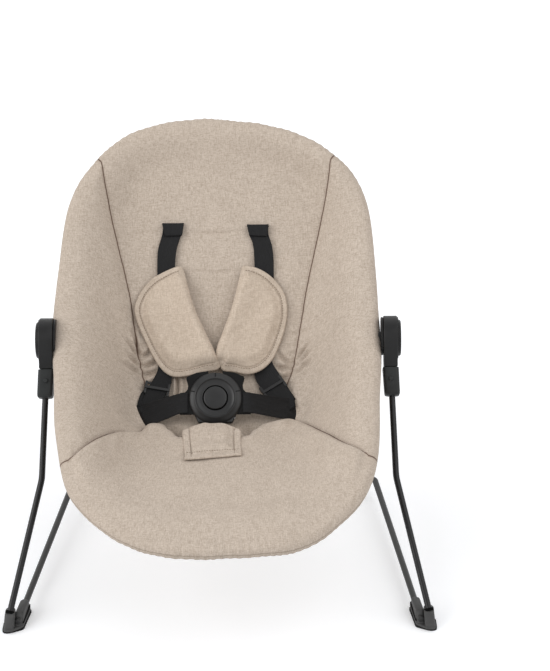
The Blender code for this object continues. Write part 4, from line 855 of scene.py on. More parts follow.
LEG_DOWN = np.array((0.0, -math.sin(LEG_LEAN), -math.cos(LEG_LEAN)))
LEG_FRONT = np.array((0.0, -math.cos(LEG_LEAN), math.sin(LEG_LEAN)))


def leg_point(x, v, l):
    """l is measured down the leg from the hub axis, v to the leg's front."""
    return x * ACROSS + v * LEG_FRONT + l * LEG_DOWN


def at_height(x, y, height):
    return np.array((x, y, height - HUB_HEIGHT))


def at_level(sign, flat, height):
    """Flat places of the right side at a height over the floor, for the side with the given sign."""
    return on_side(sign, [at_height(x, y, height) for x, y in flat])


def wire_frame():
    half = [at_height(*place) for place in (FLOOR_ROD_FRONT, REAR_CORNER, REAR_DROP)]
    path = rounded_path(half + [on_side(-1, point) for point in half[::-1]], [REAR_BEND_RADIUS] * 4)
    piece("floor_rod", tube(path, circle(ROD_RADIUS, 20)), FLOOR_ROD, "base", ("floor_bar",))
    bend = leg_point(LEG_BEND_X, 0, LEG_BEND)
    end = leg_point(LEG_END_X, 0, LEG_END)
    # The hidden end stops clear of the foot's front wall
    corners = [leg_point(LEG_ROD_TOP_X, 0, LEG_ROD_TOP), bend, end + unit(bend - end) * ROD_END_CLEARANCE]
    for name, sign in SIDES:
        path = on_side(sign, rounded_path(corners, [LEG_BEND_RADIUS]))
        piece(name + "leg", tube(path, circle(ROD_RADIUS, 24)), ROD, "legs", (name + "leg_rod",))


def leg_socket(name, sign):
    rings = []
    levels = [(SOCKET_TOP, *row) for row in ((0.1, 0.94, 4), (0.4, 0.985, 4), (0.9, 1, 4), (14, 0.985, 4))]
    levels += [(SOCKET_BOTTOM, *row) for row in (
        (-5, 0.965, 4), (-2.4, 0.94, 4), (-1, 0.88, 4), (-0.3, 0.8, 4), (0, 0.7, 4), (0.1, 0.5, 3))]
    for start, past, share, corner in levels:
        l = start + past * MM
        outline = rounded_box(SOCKET_HALF[0] * share, SOCKET_HALF[1] * share, corner * MM)
        middle = leg_point(ADAPTER_X + (l - SOCKET_TOP) * 0.05, 0, l)
        rings.append(on_side(sign, in_plane(outline, middle, ACROSS, LEG_FRONT)))
    piece(name + "socket", loft(rings), SOCKET, "legs", (name + "leg_socket",))


def housing_outline():
    """The adapter seen from the side, as places across the leg and down it."""
    start = math.radians(40)
    arc = [(DRUM_RADIUS * math.cos(turn), -DRUM_RADIUS * math.sin(turn))
           for turn in np.linspace(-start, math.pi + start, 64)]
    neck = [(-19.5, 24), (-16.6, 29), (-14.4, 33), (-13.2, 37.7), (-8, 37.7), (0, 37.7)]
    neck += [(-v, l) for v, l in neck[-2::-1]]
    return np.array(arc + [(v * MM, l * MM) for v, l in neck])


def adapter(name, sign):
    axis = ACROSS * sign
    outline = housing_outline()

    def stand(flat, x):
        return np.array([leg_point(sign * x, v, l) for v, l in flat])

    rings = plate_rings(outline, DRUM_X[0] + 0.2 * MM, DRUM_X[1], 1.4 * MM, stand)
    mouth = unit(outline) * CAVITY_RADIUS
    shell = loft(rings + [stand(mouth, DRUM_X[1]), stand(mouth, DRUM_X[0] + 4 * MM)])
    tongue = plate(rounded_box(6.4 * MM, 8.6 * MM, 2 * MM), 36 * MM, 59 * MM, 1 * MM,
                   lambda flat, l: in_plane(flat, leg_point(sign * ADAPTER_X, 0, l), axis, LEG_FRONT))
    cavity = CAVITY_RADIUS / MM
    lip = [(-0.5, cavity + 0.1), (-0.5, 26), (0.5, 26.3), (1.2, 26.6), (1.9, 26.2), (2.0, 25.3), (1.2, 24.2),
           (0.4, cavity + 0.1)]
    ring = turned(lip, axis * (DRUM_X[1] - 0.7 * MM), axis, UP, ring=True)
    piece(name + "adapter", joined(shell, tongue, ring), HOUSING, "carrier", (name + "adapter_housing",))
    flange = turned([(-2.8, 0), (-2.8, 18.3), (-2.3, 19), (-0.5, 19), (0, 18.4), (0, 0)],
                    (sign * (DRUM_X[0] - 0.2 * MM), 3.5 * MM, 6.5 * MM), axis, UP, 64)
    piece(name + "hub_flange", flange, HOUSING, "seat")
    outer = cavity - 0.4
    cap = [(-1.8, 0), (-1.8, outer - 2.2), (-8.5, outer - 2.2), (-8.5, outer)]
    cap += quarter_round((-2.4, outer), (0, outer - 2.4), 7)
    cap += [(-0.1, 19.5), (-0.6, 18.6), (-0.7, 17), (-0.5, 12), (-0.35, 6), (-0.3, 0)]
    piece(name + "button_cap", turned(cap, axis * BUTTON_OUTER_X, axis, UP), HOUSING, name + "recline",
          (name + "recline_button",))
    foot = axis * DRUM_X[0]
    spring(name + "button_spring", "carrier", foot, axis, 12 * MM)


def spring(node, body, foot, axis, radius):
    """A button's spring, as long as the frame's own one; this coil keeps that length, though the real spring
    shortens as the button goes in.
    """
    corners = np.array([vertex.co for vertex in frame["nodes"][node].data.vertices]) - HUB - foot
    low = (corners @ axis).min()
    length = (corners @ axis).max() - low
    across = unit(np.cross(axis, ASKEW))
    up = np.cross(axis, across)
    path = []
    for share in np.linspace(0, 1, 24 * SPRING_TURNS + 1):
        turn = share * 2 * math.pi * SPRING_TURNS
        along = low + SPRING_WIRE + (length - 2 * SPRING_WIRE) * share
        path.append(foot + axis * along + radius * (across * math.cos(turn) + up * math.sin(turn)))
    item = piece(node.replace("spring", "coil"), tube(path, circle(SPRING_WIRE, 8)), STEEL, body, (node,))
    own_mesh(item)


def foot_part(base, crown, height, sign):
    """A moulded lobe between a print on the floor and a smaller top, with round edges."""
    rings = []
    for share, into in (
        (0, 1.0), (0.015, 0.3), (0.05, 0), (0.3, 0), (0.6, 0), (0.84, 0), (0.9, 0.15), (0.95, 0.5),
        (0.985, 1.1), (1.0, 2.0),
    ):
        flat = inset(base * (1 - share) + crown * share, into * MM)
        rings.append(at_level(sign, flat, FOOT_FLOOR + height * share))
    return loft(rings)


def front_foot(name, sign):
    end = leg_point(LEG_END_X, 0, LEG_END)
    rod_dir = unit(end - leg_point(LEG_BEND_X, 0, LEG_BEND))
    mouth = end + rod_dir * (FOOT_TOP - 10 * MM) / rod_dir[2]
    box = rounded_box(6.7 * MM, 9.8 * MM, 4.2 * MM)
    toe = box + (end[0] - 2 * MM, end[1] + 4.5 * MM)
    toe_part = foot_part(toe, box * (0.97, 0.9) + mouth[:2] + (0, 1 * MM), FOOT_TOP - FOOT_FLOOR, sign)
    axis = on_side(sign, rod_dir)
    # Near-black ring round the rod where it enters the foot: painted shade for the dark opening of the bore
    mouth_shade = turned([(3, 4.95), (3, 5.9), (-0.2, 6.0), (-0.7, 5.8), (-0.8, 5.45), (-0.3, 5.05)],
                    on_side(sign, mouth), axis, unit(np.cross(axis, ACROSS)), 40, ring=True)
    piece(name + "foot_mouth_shade", mouth_shade, SHADE, "base")
    front_x, front_y, _ = FLOOR_ROD_FRONT
    slope = (REAR_CORNER[0] - front_x) / (REAR_CORNER[1] - front_y)

    def along_rod(half_across, half_along, x, y):
        outline = rounded_box(half_across, half_along, 4.5 * MM) + (front_x + x, front_y + y)
        return np.stack([outline[:, 0] + slope * (outline[:, 1] - front_y), outline[:, 1]], 1)

    lobe = along_rod(6.2 * MM, 22 * MM, 0, 20 * MM)
    lobe_part = foot_part(lobe, along_rod(5.3 * MM, 16 * MM, 0.3 * MM, 23 * MM), 17.5 * MM, sign)
    sole = np.array(convex(np.vstack([toe, lobe])))
    sole_part = plate(sole, FOOT_FLOOR, FOOT_FLOOR + 3.2 * MM, 0.8 * MM,
                      lambda flat, level: at_level(sign, flat, level))
    piece(name + "foot", joined(toe_part, lobe_part, sole_part), FOOT, "base", (name + "front_foot",))
    # Near-black sheet along the inner side, wider to the rear: painted shade for the recess there
    wedge = [(1.5, 5.5), (4, 4.6), (20, 4.4), (37, 4.7), (38, 10), (35, 10.6), (18, 8.6), (3, 6.8)]
    sheets = [on_side(sign, [at_height(front_x + (slope * y - 6.1 - inward) * MM, front_y + y * MM,
                                       FOOT_FLOOR + z * MM) for y, z in wedge]) for inward in (-0.8, 0.35)]
    piece(name + "foot_recess_shade", loft(sheets), SHADE, "base")


def convex(points):
    """The convex outline round some flat points."""
    ordered = sorted({(round(float(a), 7), round(float(b), 7)) for a, b in points})

    def chain(row):
        found = []
        for point in row:
            while len(found) > 1:
                (ax, ay), (bx, by) = found[-2:]
                if (bx - ax) * (point[1] - ay) - (by - ay) * (point[0] - ax) > 0:
                    break
                found.pop()
            found.append(point)
        return found[:-1]

    return chain(ordered) + chain(ordered[::-1])


# Buckle and tongues; x to the side, u up the buckle's face, n out of its face


BUCKLE_CENTRE = np.array((-5 * MM, -19 * MM, -76 * MM))
BUCKLE_TILT = math.radians(42)
BUCKLE_RADIUS = 33.5 * MM
BUCKLE_OUT = np.array((0.0, -math.cos(BUCKLE_TILT), math.sin(BUCKLE_TILT)))
BUCKLE_UP = np.array((0.0, math.sin(BUCKLE_TILT), math.cos(BUCKLE_TILT)))
TONGUE_THICKNESS = 3 * MM
TONGUE_OUTLINE = (
    (19, -20.5), (45, -20.5), (45, 7.6), (38.5, 8.4), (35.6, 12), (34.8, 17), (37.2, 26.5),
    (35.5, 29), (24, 34), (9, 36), (9, 30), (22, 24), (27, 17), (29, 11), (19, 11),
)
TONGUE_SLOT = ((37.5, 42), (-18, 6))
TONGUE_STRAP_U = -6 * MM
CROTCH_PIN = (8.5 * MM - BUCKLE_RADIUS, -0.5 * MM, 1.2 * MM)


def buckle_point(x, u, n):
    return BUCKLE_CENTRE + x * ACROSS + u * BUCKLE_UP + n * BUCKLE_OUT


def buckle():
    rim = [
        (-7.5, 0), (-7.5, 28.0), (-6.9, 29.6), (-4.5, 32.3), (-2.5, 33.6), (-0.5, 34.2), (1.0, 34.2),
        (2.4, 33.7), (3.4, 32.7), (4.4, 31.0), (5.6, 28.8), (6.7, 27.0), (7.4, 26.1), (7.7, 25.5),
        (7.6, 24.9), (7.0, 24.4), (6.4, 23.6), (5.9, 22.2), (5.5, 20.2), (5.35, 18.4), (5.45, 17.2),
        (5.3, 16.5), (4.6, 16.2), (-4.6, 15.9), (-4.8, 0),
    ]
    disc = turned(rim, BUCKLE_CENTRE, BUCKLE_OUT, ACROSS, 120)
    half = [(0, -14), (24, -14), (27.5, -19), (21.5, -32)]
    corners = half + [(-x, u) for x, u in half[:0:-1]] + half[:1]
    outline = rounded_path([(x * MM, u * MM, 0) for x, u in corners], [3 * MM] * 6)[:-1, :2]
    base = plate(outline, -6 * MM, 2.4 * MM, 2.2 * MM,
                 lambda flat, n: np.array([buckle_point(x, u, n) for x, u in flat]))
    piece("buckle_case", joined(disc, base), BUCKLE, "seat", ("buckle_body",))
    # Near-black slips sunk in the ring at its three notches: painted shade in the notches
    for angle in (90, 163, 17):
        out = math.cos(math.radians(angle)) * ACROSS + math.sin(math.radians(angle)) * BUCKLE_UP
        side = np.cross(BUCKLE_OUT, out)
        where = BUCKLE_CENTRE + out * 30 * MM + BUCKLE_OUT * 4.9 * MM
        tilted = unit(BUCKLE_OUT + out * 0.55)
        down = np.cross(side, tilted)
        notch = plate(rounded_box(3.4 * MM, 0.55 * MM, 0.4 * MM), -1.2 * MM, 0.2 * MM, 0.1 * MM,
                      lambda flat, n: in_plane(flat, where + tilted * n, down, side))
        piece(f"buckle_notch_shade_{angle}", notch, SHADE, "seat")
    cap = [(4.4, 0), (4.4, 8), (0.5, 8.2), (0.5, 15)] + quarter_round((6.0, 15), (7.5, 13.3), 6)
    cap += [(7.6, 12.4), (7.85, 9), (7.95, 4), (8.0, 0)]
    piece("buckle_press", turned(cap, BUCKLE_CENTRE, BUCKLE_OUT, ACROSS), BUCKLE, "buckle_press_button",
          ("buckle_button",))
    spring("buckle_spring", "seat", BUCKLE_CENTRE, BUCKLE_OUT, 6 * MM)


def tongue(name, sign):
    outline = np.array(TONGUE_OUTLINE) * MM
    skin = loft([[buckle_point(sign * x, u, n) for x, u in outline]
                 for n in (-TONGUE_THICKNESS / 2, TONGUE_THICKNESS / 2)])
    item = piece(name + "tongue_plate", skin, TONGUE, name + "tongue", (name + "buckle_tongue",))
    (x0, x1), (u0, u1) = TONGUE_SLOT
    middle = buckle_point(sign * (x0 + x1) / 2 * MM, (u0 + u1) / 2 * MM, 0)
    halves = ((x1 - x0) / 2 * MM, (u1 - u0) / 2 * MM, 10 * MM)
    cut(item, block(middle, (ACROSS, BUCKLE_UP, BUCKLE_OUT), halves))
    bevel(item, 0.6 * MM)


# Harness


WEB_WIDTH = 26 * MM
WEB_THICKNESS = 1.6 * MM
SHOULDER_SLOT = (57, 155)
WAIST_SLOT = (101, -48)
CROTCH_SLOT = (0, -140)
UNDER_SEAT = -26.5 * MM
CROTCH_STRAP_HEIGHTS = (3.2 * MM, 6.0 * MM)
HALF_WEB_TOP = [(1.0, 0.25), (0.985, 0.8), (0.955, 1.05), (0.9, 1.1), (0.85, 0.85), (0.5, 0.8), (0.0, 0.8)]
WEB_TOP = HALF_WEB_TOP + [(-share, thick) for share, thick in HALF_WEB_TOP[-2::-1]]
WEB_SECTION = WEB_TOP + [(share, -thick) for share, thick in WEB_TOP[::-1]]
# Rows of each strap: the place of one edge, that of the other, and their height over the seat
SHOULDER_ROWS = {
    "left_": (
        (-75, 155, -48, 155, 0.5), (-75, 149, -49.5, 149, 3), (-76, 143, -51, 143, 3),
        (-79, 135, -55, 134, 3.5), (-81.5, 127, -57.5, 125, 4.5), (-82, 117, -58.5, 114, 4),
        (-82, 106, -59, 105, 3), (-82, 96, -59, 94, 3), (-82, 60, -60, 60, 4.5), (-80, 22, -60, 16, 4),
        (-79, 4, -62, -5, 3.6), (-88, -10, -63, -15, 5.5), (-97, -21, -69, -25, 6.6),
        (-101, -31, -73, -33, 5.5), (-103, -42, -76, -43, 3), (-103, -52, -77, -52, 2),
    ),
    "right_": (
        (63, 153, 36, 153, 0.5), (63, 147, 37, 147, 3), (63.5, 142, 38.5, 142, 3), (67, 134.5, 42, 136, 3.5),
        (69, 126, 44, 128, 4.5), (70, 114, 44.5, 118, 4), (70, 103, 45, 107, 3), (70, 92, 45, 96, 3),
        (68, 60, 46, 60, 4.5), (66, 24, 44, 16, 4), (66, 10, 44, -6, 3.6), (74, 0, 49, -15, 5.5),
        (84, -13, 58, -26, 7), (92, -24, 68, -37, 5), (97, -34, 78, -46, 3), (98, -42, 84, -52, 2),
    ),
}
SHOULDER_FOLDS = {
    "left_": (
        (-75.5, 157, -47.5, 157, -3), (-76, 155, -47.5, 155, 5.4), (-73, 144.5, -49, 145, 6.0),
        (-72, 142, -49.5, 142.5, 5.4), (-72, 143, -49.5, 143.5, 4.4),
    ),
    "right_": (
        (63.5, 155, 35.5, 155, -3), (63.5, 153, 35, 153, 5.4), (62, 143, 37.5, 144, 6.0),
        (61.5, 141, 38, 142, 5.4), (61.5, 142, 38, 143, 4.4),
    ),
}
WAIST_ROWS = {
    "left_": ((-108, -42, -89, -70, -3), (-103.5, -40.5, -85.5, -68, 2.4)),
    "right_": ((98, -33, 88.5, -61, -3), (93, -32, 83.5, -59.5, 2.4)),
}
TAIL_ROWS = {
    "left_": (
        (-91, -15, -70, -23, 2.6), (-101, -21, -76, -28, 2.8), (-106, -34, -82, -38, 2.4),
        (-107, -43, -88, -45, 1.5),
    ),
    "right_": ((80, -10, 62, -22, 2.6), (91, -22, 72, -32, 2.8), (98, -33, 82, -43, 2.0)),
}
ADJUSTER_PLACES = {"left_": ((-98, -18.5), (-67, -22), 6.4), "right_": ((82, -10.5), (55, -26), 6.6)}
ADJUSTER_HALF = (16.5, 9)


def web(name, middle, halves, body, nodes=()):
    """A strap along a line of points, with half its width as a vector at each of them."""
    rings, cloth = [], []
    wide, thick = WEB_WIDTH / 2, WEB_THICKNESS / 2
    tangents = np.gradient(middle, axis=0)
    for point, half, tangent, walked in zip(middle, halves, tangents, walked_along(middle) / MM):
        normal = unit(np.cross(tangent, half)) * thick
        rings.append([point + half * a + normal * b for a, b in WEB_SECTION])
        cloth += [(walked, a * wide / MM, b * thick / MM) for a, b in WEB_SECTION]
    return piece(name, loft(rings), WEBBING, body, nodes, sharp=0, cloth=cloth)


def strap(name, rows, body, nodes=()):
    """A strap through rows of (one edge, the other edge, reach of the bend there)."""
    rows = [(np.hstack([a, b]), reach) for a, b, reach in rows]

    def towards(corner, other, reach):
        run = other - corner
        length = max(1e-6, np.linalg.norm(run[:3] + run[3:]) / 2)
        return corner + run * min(reach / length, 0.49)

    path = [rows[0][0]]
    for (before, _), (corner, reach), (after, _) in zip(rows, rows[1:], rows[2:]):
        start = towards(corner, before, reach)
        end = towards(corner, after, reach)
        path += [start * (1 - t) ** 2 + corner * 2 * t * (1 - t) + end * t * t for t in np.linspace(0, 1, 7)]
    path = np.array(path + [rows[-1][0]])
    one = path[:, :3]
    other = path[:, 3:]
    return web(name, (one + other) / 2, (one - other) / 2, body, nodes)


def seat_rows(rows, reach):
    return [(over_seat(x0, y0, height * MM), over_seat(x1, y1, height * MM), reach)
            for x0, y0, x1, y1, height in rows]


def under_seat(place, lengthways, tail):
    """The two points of a strap's sewn tail under the cover, and the direction across it."""
    wide, deep, _ = seat_frame(*place)
    if lengthways:
        wide, deep = deep, wide
    low = over_seat(*place, UNDER_SEAT)
    return [low + deep * tail, low], wide


def hidden_rows(place, lengthways, tail, sign, depth):
    """The part of a strap under the cover, from its sewn tail to inside the padding."""
    points, wide = under_seat(place, lengthways, tail)
    half = wide * WEB_WIDTH / 2
    return [(*on_side(sign, [point + half, point - half]), 3 * MM)
            for point in points + [over_seat(*place, depth)]]


def adjuster_frame(name):
    one, other, height = ADJUSTER_PLACES[name]
    out = seat_frame(*(np.array(one) + other) / 2)[2]
    one = over_seat(*one, height * MM)
    other = over_seat(*other, height * MM)
    across = unit(one - other)
    out = unit(out - (out @ across) * across)
    return (one + other) / 2, across, np.cross(out, across), out


def shoulder_strap(name, sign):
    rows = hidden_rows(SHOULDER_SLOT, False, 13 * MM, sign, -8 * MM)
    rows += seat_rows(SHOULDER_ROWS[name], 14 * MM)
    strap(name + "shoulder_web", rows, "seat", (name + "shoulder_strap",))
    strap(name + "shoulder_fold", seat_rows(SHOULDER_FOLDS[name], 1.6 * MM), "seat")
    strap(name + "shoulder_tail", seat_rows(TAIL_ROWS[name], 8 * MM), "seat")
    middle, across, run, out = adjuster_frame(name)
    half_wide, half_long = ADJUSTER_HALF

    def bar(half_across, half_along, x, y, low, high):
        shape = (rounded_box(half_across, half_along, 1.2) + (x, y)) * MM
        return plate(shape, low * MM, high * MM, 0.5 * MM,
                     lambda flat, level: in_plane(flat, middle + out * level, across, run))

    bars = [bar(half_wide, 1.6, 0, way * (half_long - 1.6), -2.9, -1.0) for way in (-1, 1)]
    bars += [bar(1.6, half_long - 0.1, way * (half_wide - 1.7), 0, -2.8, 1.8) for way in (-1, 1)]
    bars.append(bar(half_wide - 0.2, 1.9, 0, 0, 0.9, 2.9))
    piece(name + "adjuster", joined(*bars), BUCKLE, "seat", (name + "strap_adjuster",))


def waist_strap(name, sign):
    rows = hidden_rows(WAIST_SLOT, True, 13 * MM, sign, -12 * MM) + seat_rows(WAIST_ROWS[name], 5 * MM)
    away = TONGUE_THICKNESS / 2 + WEB_THICKNESS / 2 + FIT
    half = BUCKLE_UP * WEB_WIDTH / 2
    start = buckle_point(sign * 44 * MM, TONGUE_STRAP_U, away + 0.3 * MM)
    upper, lower, _ = rows[-1]
    for share, sag in ((0.35, 1.5), (0.7, 1.0)):
        edges = [edge * (1 - share) + (start + across) * share - BUCKLE_OUT * sag * MM
                 for edge, across in ((upper, half), (lower, -half))]
        rows.append((*edges, 9 * MM))
    for x, n, reach in ((44, away + 0.3 * MM, 8), (35.2, away, 1.6), (35.2, -away, 1.6), (50, -away, 8)):
        middle = buckle_point(sign * x * MM, TONGUE_STRAP_U, n)
        rows.append((middle + half, middle - half, reach * MM))
    item = strap(name + "waist_web", rows, None, (name + "waist_strap",))
    ends = [tuple(buckle_point(sign * x, TONGUE_STRAP_U, 0) + HUB) for x in (72 * MM, 46 * MM)]
    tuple(ends[0])
    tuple(ends[1])
    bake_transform(item)


def crotch_strap():
    points, wide = under_seat(CROTCH_SLOT, False, -13 * MM)
    pin_u, pin_n, pin_radius = CROTCH_PIN
    away = pin_radius + WEB_THICKNESS / 2 + FIT
    points += [over_seat(0, y, height) for y, height in zip((CROTCH_SLOT[1] + 8, -88), CROTCH_STRAP_HEIGHTS)]
    points += [buckle_point(0, u, n) for u, n in (
        (pin_u - 15 * MM, pin_n + away), (pin_u + away, pin_n + away), (pin_u + away, pin_n - away),
        (pin_u - 7 * MM, pin_n - away))]
    bends = [2.5 * MM, 2.5 * MM, 10 * MM, 4 * MM, away * 0.95, away * 0.95]
    path = rounded_path(points, bends, math.radians(10))
    tangents = unit(np.gradient(path, axis=0))
    halves = unit(wide - (tangents @ wide)[:, None] * tangents) * WEB_WIDTH / 2
    web("crotch_web", path, halves, "seat", ("crotch_strap",))


# Shoulder pads: the bound edge from the top inner corner round to the bottom one, and the fold back up
PAD_EDGES = {
    "left_": (
        (
            (-47, 105), (-51, 109), (-56, 109), (-65, 106.5), (-78, 101.5), (-89, 96), (-101, 86),
            (-109, 75), (-113, 62), (-109, 48), (-100, 33), (-87, 15), (-75, 2), (-63, -5), (-47, -6.5),
            (-30, -4), (-14, -1), (-3, 1), (1, 4),
        ),
        ((1, 4), (-7, 20), (-15, 33), (-24, 48), (-33, 65), (-40, 83), (-45, 98), (-47, 105)),
    ),
    "right_": (
        (
            (27, 104), (29, 108), (39, 109), (57, 103.5), (74, 92), (82, 83), (86, 74), (87.5, 61), (82, 37),
            (76, 24), (69, 13), (57, 2.5), (46, -2.5), (35, -4.5), (14, -1.5), (4, 0), (0, 4),
        ),
        ((0, 4), (-5, 12), (-4, 23), (2, 36), (8, 49), (14, 62), (19, 76), (24, 92), (27, 104)),
    ),
}
TAPE_WIDTH = 7.2
# For each pad its middle, the height of its fold over the buckle, and the seed of its puckers
PAD_SHAPES = {"left_": ((-60, 48), 8.0, 21), "right_": ((42, 48), 6.0, 27)}


def quilted(name, nodes, bound, fold, lift, middle, seed, tape=TAPE_WIDTH, puff=5.6, rise=10.0, roll=9.0,
            cloth_material=LIT_PAD_FABRIC, edge_material=None, radius=48.0):
    """A padded piece with tape round one part of its edge and a thick fold along the rest."""
    bound = evenly(bound, 210)
    fold = evenly(fold, 90)
    outline = np.vstack([bound, fold[1:-1]])
    bound_line = bound[::2]
    fold_line = fold[::3]

    def levels(x, y):
        from_bound = np.abs(line_distance(x, y, bound_line)[0])
        from_fold = np.abs(line_distance(x, y, fold_line)[0])
        level = 2.4 + (0.62 * roll - 0.4) * smooth(0, 13, from_bound)
        body = 4.4 + puff * smooth(tape, tape + 13, from_bound)
        body += rise * bell(from_fold, 26) * smooth(0, 14, from_bound)
        body -= 1.6 * bell(from_bound - tape, 0.8)
        puckers = 0.5 * waves(x, y, seed, 24) + 0.25 * waves(x, y, seed + 1, 11)
        body += puckers * smooth(0, tape + 6, from_bound)
        body += 0.3 * waves(x, y, seed + 2, 8) * bell(from_bound - tape - 2, 3)
        arch = np.sqrt(1 - (1 - np.clip(from_bound / 1.8, 0, 1)) ** 2)
        arch *= np.sqrt(1 - (1 - np.clip(from_fold / roll, 0, 1)) ** 2)
        high = lift(x, y)
        return level + (body - level) * arch + high, level + (1.2 - level) * arch + high, from_bound

    steps = np.arange(0, 13, 0.6) / radius
    shares = np.concatenate([1 - steps, np.linspace(1 - steps[-1] - 0.03, 0.03, 24)])
    arc = walked_along(outline)
    rings, cloth, edge = [], [], []
    for top in (False, True):
        for share in (shares if top else shares[::-1][:-1]):
            x, y = (middle + (outline - middle) * share).T
            high, low, from_bound = levels(x, y)
            rings.append(over_seat(x, y, (high if top else low) * MM))
            taped = from_bound < tape + 0.2
            across = np.where(taped, arc, x)
            along = np.where(taped, from_bound + 400, y * 1.2)
            cloth.append(np.stack([across, along, 0 * x], 1))
            edge.append(from_bound)
    item = piece(name, loft(rings), cloth_material, "seat", nodes, sharp=0, cloth=np.vstack(cloth))
    if edge_material:
        item.data.materials.append(edge_material)
        edge = np.concatenate(edge)
        for face in item.data.polygons:
            if edge[list(face.vertices)].mean() < tape:
                face.material_index = 1
    return levels, bound


# For each place along a stitch, how far it stands out of the cloth and the thickness of the thread there
STITCH = ((0, -0.45, 0.55), (0.12, 0.05, 0.9), (0.5, 0.25, 1.0), (0.88, 0.05, 0.9), (1, -0.45, 0.55))


def stitches(name, levels, places, length, gap=1.0, thick=0.42):
    """A row of short stitches along places on a padded piece, standing a little out of the cloth."""
    path = over_seat(*places.T, levels(*places.T)[0] * MM)
    out = seat_frame(*places.T)[2]
    walked = walked_along(path) / MM
    sizes = [size for _, _, size in STITCH]

    def along(rows, far):
        return np.array([np.interp(far, walked, column) for column in rows.T])

    parts = []
    for start in np.arange(gap, walked[-1] - length, length + gap):
        away = along(out, start + length / 2)
        line = np.array([along(path, start + length * share) + away * lift * MM for share, lift, _ in STITCH])
        parts.append(tube(line, circle(thick * MM, 6), away, sizes))
    piece(name, joined(*parts), THREAD, "seat")


def shoulder_pad(name):
    bound, fold = PAD_EDGES[name]
    middle, most, seed = PAD_SHAPES[name]

    def lift(x, y):
        over_strap = 2.6 * smooth(84, 100, y) + 1.6 * smooth(30, 5, y)
        return 1.5 + most * smooth(35, -2, y) * smooth(75, 30, np.abs(x)) + over_strap

    levels, bound = quilted(name + "pad", (name + "shoulder_pad",), bound, fold, lift, middle, seed,
                            edge_material=TAPE)
    edge = bound[6:-5]
    x, y = np.gradient(edge, axis=0).T
    inwards = unit(np.stack([-y, x], 1))
    inwards *= np.sign(((middle - edge) * inwards).sum(1))[:, None]
    stitches(name + "pad_stitches", levels, edge + inwards * (TAPE_WIDTH - 1.1), 2.4)


CROTCH_PAD_SIDES = (
    (-46.5, -91), (-46.2, -95), (-45, -105), (-43.5, -118), (-42, -132), (-41.4, -142), (-41, -146.5),
    (-38, -146.6), (-24, -145), (-6, -142.6), (14, -140), (26, -138.2), (29.6, -137.6), (29.8, -134),
    (28.8, -122), (28, -110), (28, -99), (28.2, -93),
)
CROTCH_PAD_TOP = (
    (28.2, -93), (26.5, -90.5), (19, -87), (12, -85.5), (5, -82.5), (-3, -82), (-11, -83), (-18, -82),
    (-27, -85.5), (-33, -85.5), (-41, -88.5), (-46.5, -91),
)


def crotch_pad():
    def lift(x, y):
        return 1.4 + 4.2 * smooth(-118, -86, y) * smooth(75, 35, np.abs(x + 8))

    levels, _ = quilted("crotch_pad_fabric", ("crotch_pad",), CROTCH_PAD_SIDES, CROTCH_PAD_TOP, lift,
                        (-7.5, -116), 41, tape=9.0, puff=3.2, rise=1.6, roll=2.2,
                        cloth_material=FABRIC_PLAIN, radius=34.0)
    for number, (start, end) in enumerate((((-37, -92), (-33, -143)), ((19, -90), (20.5, -136)),
                                           ((-40, -134.5), (28, -127)))):
        stitches(f"crotch_pad_stitches_{number}", levels, np.linspace(start, end, 40), 2.2, thick=0.36)


# Camera, floor and light


VIEW_DOWN = math.radians(28)
VIEW_TURN = math.radians(-0.4)
VIEW_ROLL = math.radians(0.6)
VIEW_DISTANCE = 3200 * MM
FOCAL_PIXELS = 2528
FRAME_PIXELS = (550, 671)
HUB_PIXEL = (218.5, 339)
SENSOR_WIDTH = 36


def camera():
    ahead = np.array((math.sin(VIEW_TURN) * math.cos(VIEW_DOWN), math.cos(VIEW_TURN) * math.cos(VIEW_DOWN),
                      -math.sin(VIEW_DOWN)))
    right = np.array((math.cos(VIEW_TURN), -math.sin(VIEW_TURN), 0.0))
    up = np.cross(right, ahead)
    right, up = (right * math.cos(VIEW_ROLL) - up * math.sin(VIEW_ROLL),
                 up * math.cos(VIEW_ROLL) + right * math.sin(VIEW_ROLL))
    scale = VIEW_DISTANCE / FOCAL_PIXELS
    off_x = (HUB_PIXEL[0] - FRAME_PIXELS[0] / 2) * scale
    off_y = -(HUB_PIXEL[1] - FRAME_PIXELS[1] / 2) * scale
    place = HUB - ahead * VIEW_DISTANCE - right * off_x - up * off_y
    data = bpy.data.cameras.new("camera")
    data.sensor_width = SENSOR_WIDTH
    data.lens = FOCAL_PIXELS / max(FRAME_PIXELS) * SENSOR_WIDTH
    data.clip_end = 50
    item = in_scene("camera", data)
    turn = Matrix(np.column_stack([right, up, -ahead]).tolist()).to_4x4()
    item.matrix_world = Matrix.Translation(place.tolist()) @ turn
    bpy.context.scene.camera = item


def seen_directly(tree):
    """1 for what the camera or a mirror sees, and 0 for what only lights the scene."""
    rays = node(tree, "LightPath")
    return maths(tree, "MAXIMUM", rays.outputs["Is Camera Ray"], rays.outputs["Is Glossy Ray"])


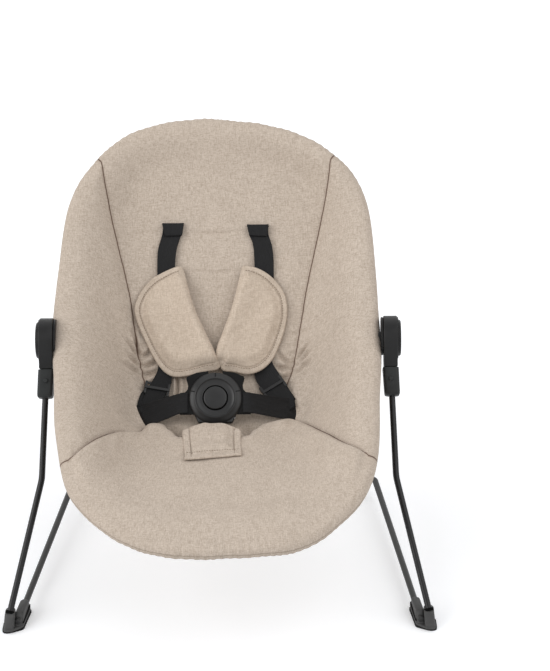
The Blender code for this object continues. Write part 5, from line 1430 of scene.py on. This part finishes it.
def floor():
    bpy.ops.mesh.primitive_plane_add(size=40, location=(0, 0, 0))
    item = bpy.context.object
    item.name = "floor"
    made, tree, shader = new_material("floor_white", None, (0.8, 0.8, 0.8), 0.9, Specular_IOR_Level=0.0)
    pale = node(tree, "BsdfDiffuse", Color=(0.905, 0.92, 0.945, 1))
    glow = node(tree, "Emission", Color=(1, 1, 1, 1), Strength=0.19)
    both = node(tree, "AddShader", i0=pale.outputs[0], i1=glow.outputs[0])
    mix = node(tree, "MixShader", Fac=seen_directly(tree), i1=shader.outputs[0], i2=both.outputs[0])
    tree.links.new(mix.outputs[0], tree.nodes["Material Output"].inputs["Surface"])
    item.data.materials.append(made)


def lights():
    world = bpy.data.worlds.new("studio")
    bpy.context.scene.world = world
    world.use_nodes = True
    tree = world.node_tree
    back = tree.nodes["Background"]
    back.inputs["Color"].default_value = (1, 1, 1, 1)
    tree.links.new(ranged(tree, seen_directly(tree), 0.0, 1.0, 0.7, 1.0), back.inputs["Strength"])
    for name, strength, angle, turn in (
        ("key", 1.45, 50, (60, 0, -65)), ("fill", 0.78, 60, (45, 0, 60)), ("rear", 0.23, 60, (40, 0, 180)),
    ):
        data = bpy.data.lights.new(name, "SUN")
        data.energy = strength
        data.angle = math.radians(angle)
        in_scene(name, data).rotation_euler = [math.radians(a) for a in turn]


def cad_materials():
    """Finishes for the frame's own pieces that stay in view."""
    for name, item in frame["nodes"].items():
        for ending, finish in (
            ("seat_hoop", ROD), ("crotch_pin", STEEL), ("foot_pad", RUBBER), ("rear_sleeve", RUBBER),
            ("leg_pin", STEEL), ("catch_button", SOCKET), ("hub_bracket", HOUSING), ("lock_disc", STEEL),
            ("pivot_bolt", STEEL), ("keeper", HOUSING),
        ):
            if name.endswith(ending):
                for slot in item.material_slots:
                    slot.link = "OBJECT"
                    slot.material = finish
                if ending in ("keeper", "catch_button"):
                    bevel(item, 0.4 * MM, 2)


def main():
    bpy.context.scene.view_settings.view_transform = "Standard"
    camera()
    floor()
    lights()
    cad_materials()
    wire_frame()
    for name, sign in SIDES:
        leg_socket(name, sign)
        adapter(name, sign)
        front_foot(name, sign)
        tongue(name, sign)
        shoulder_strap(name, sign)
        waist_strap(name, sign)
        shoulder_pad(name)
    buckle()
    crotch_strap()
    crotch_pad()
    seat_cover()


main()
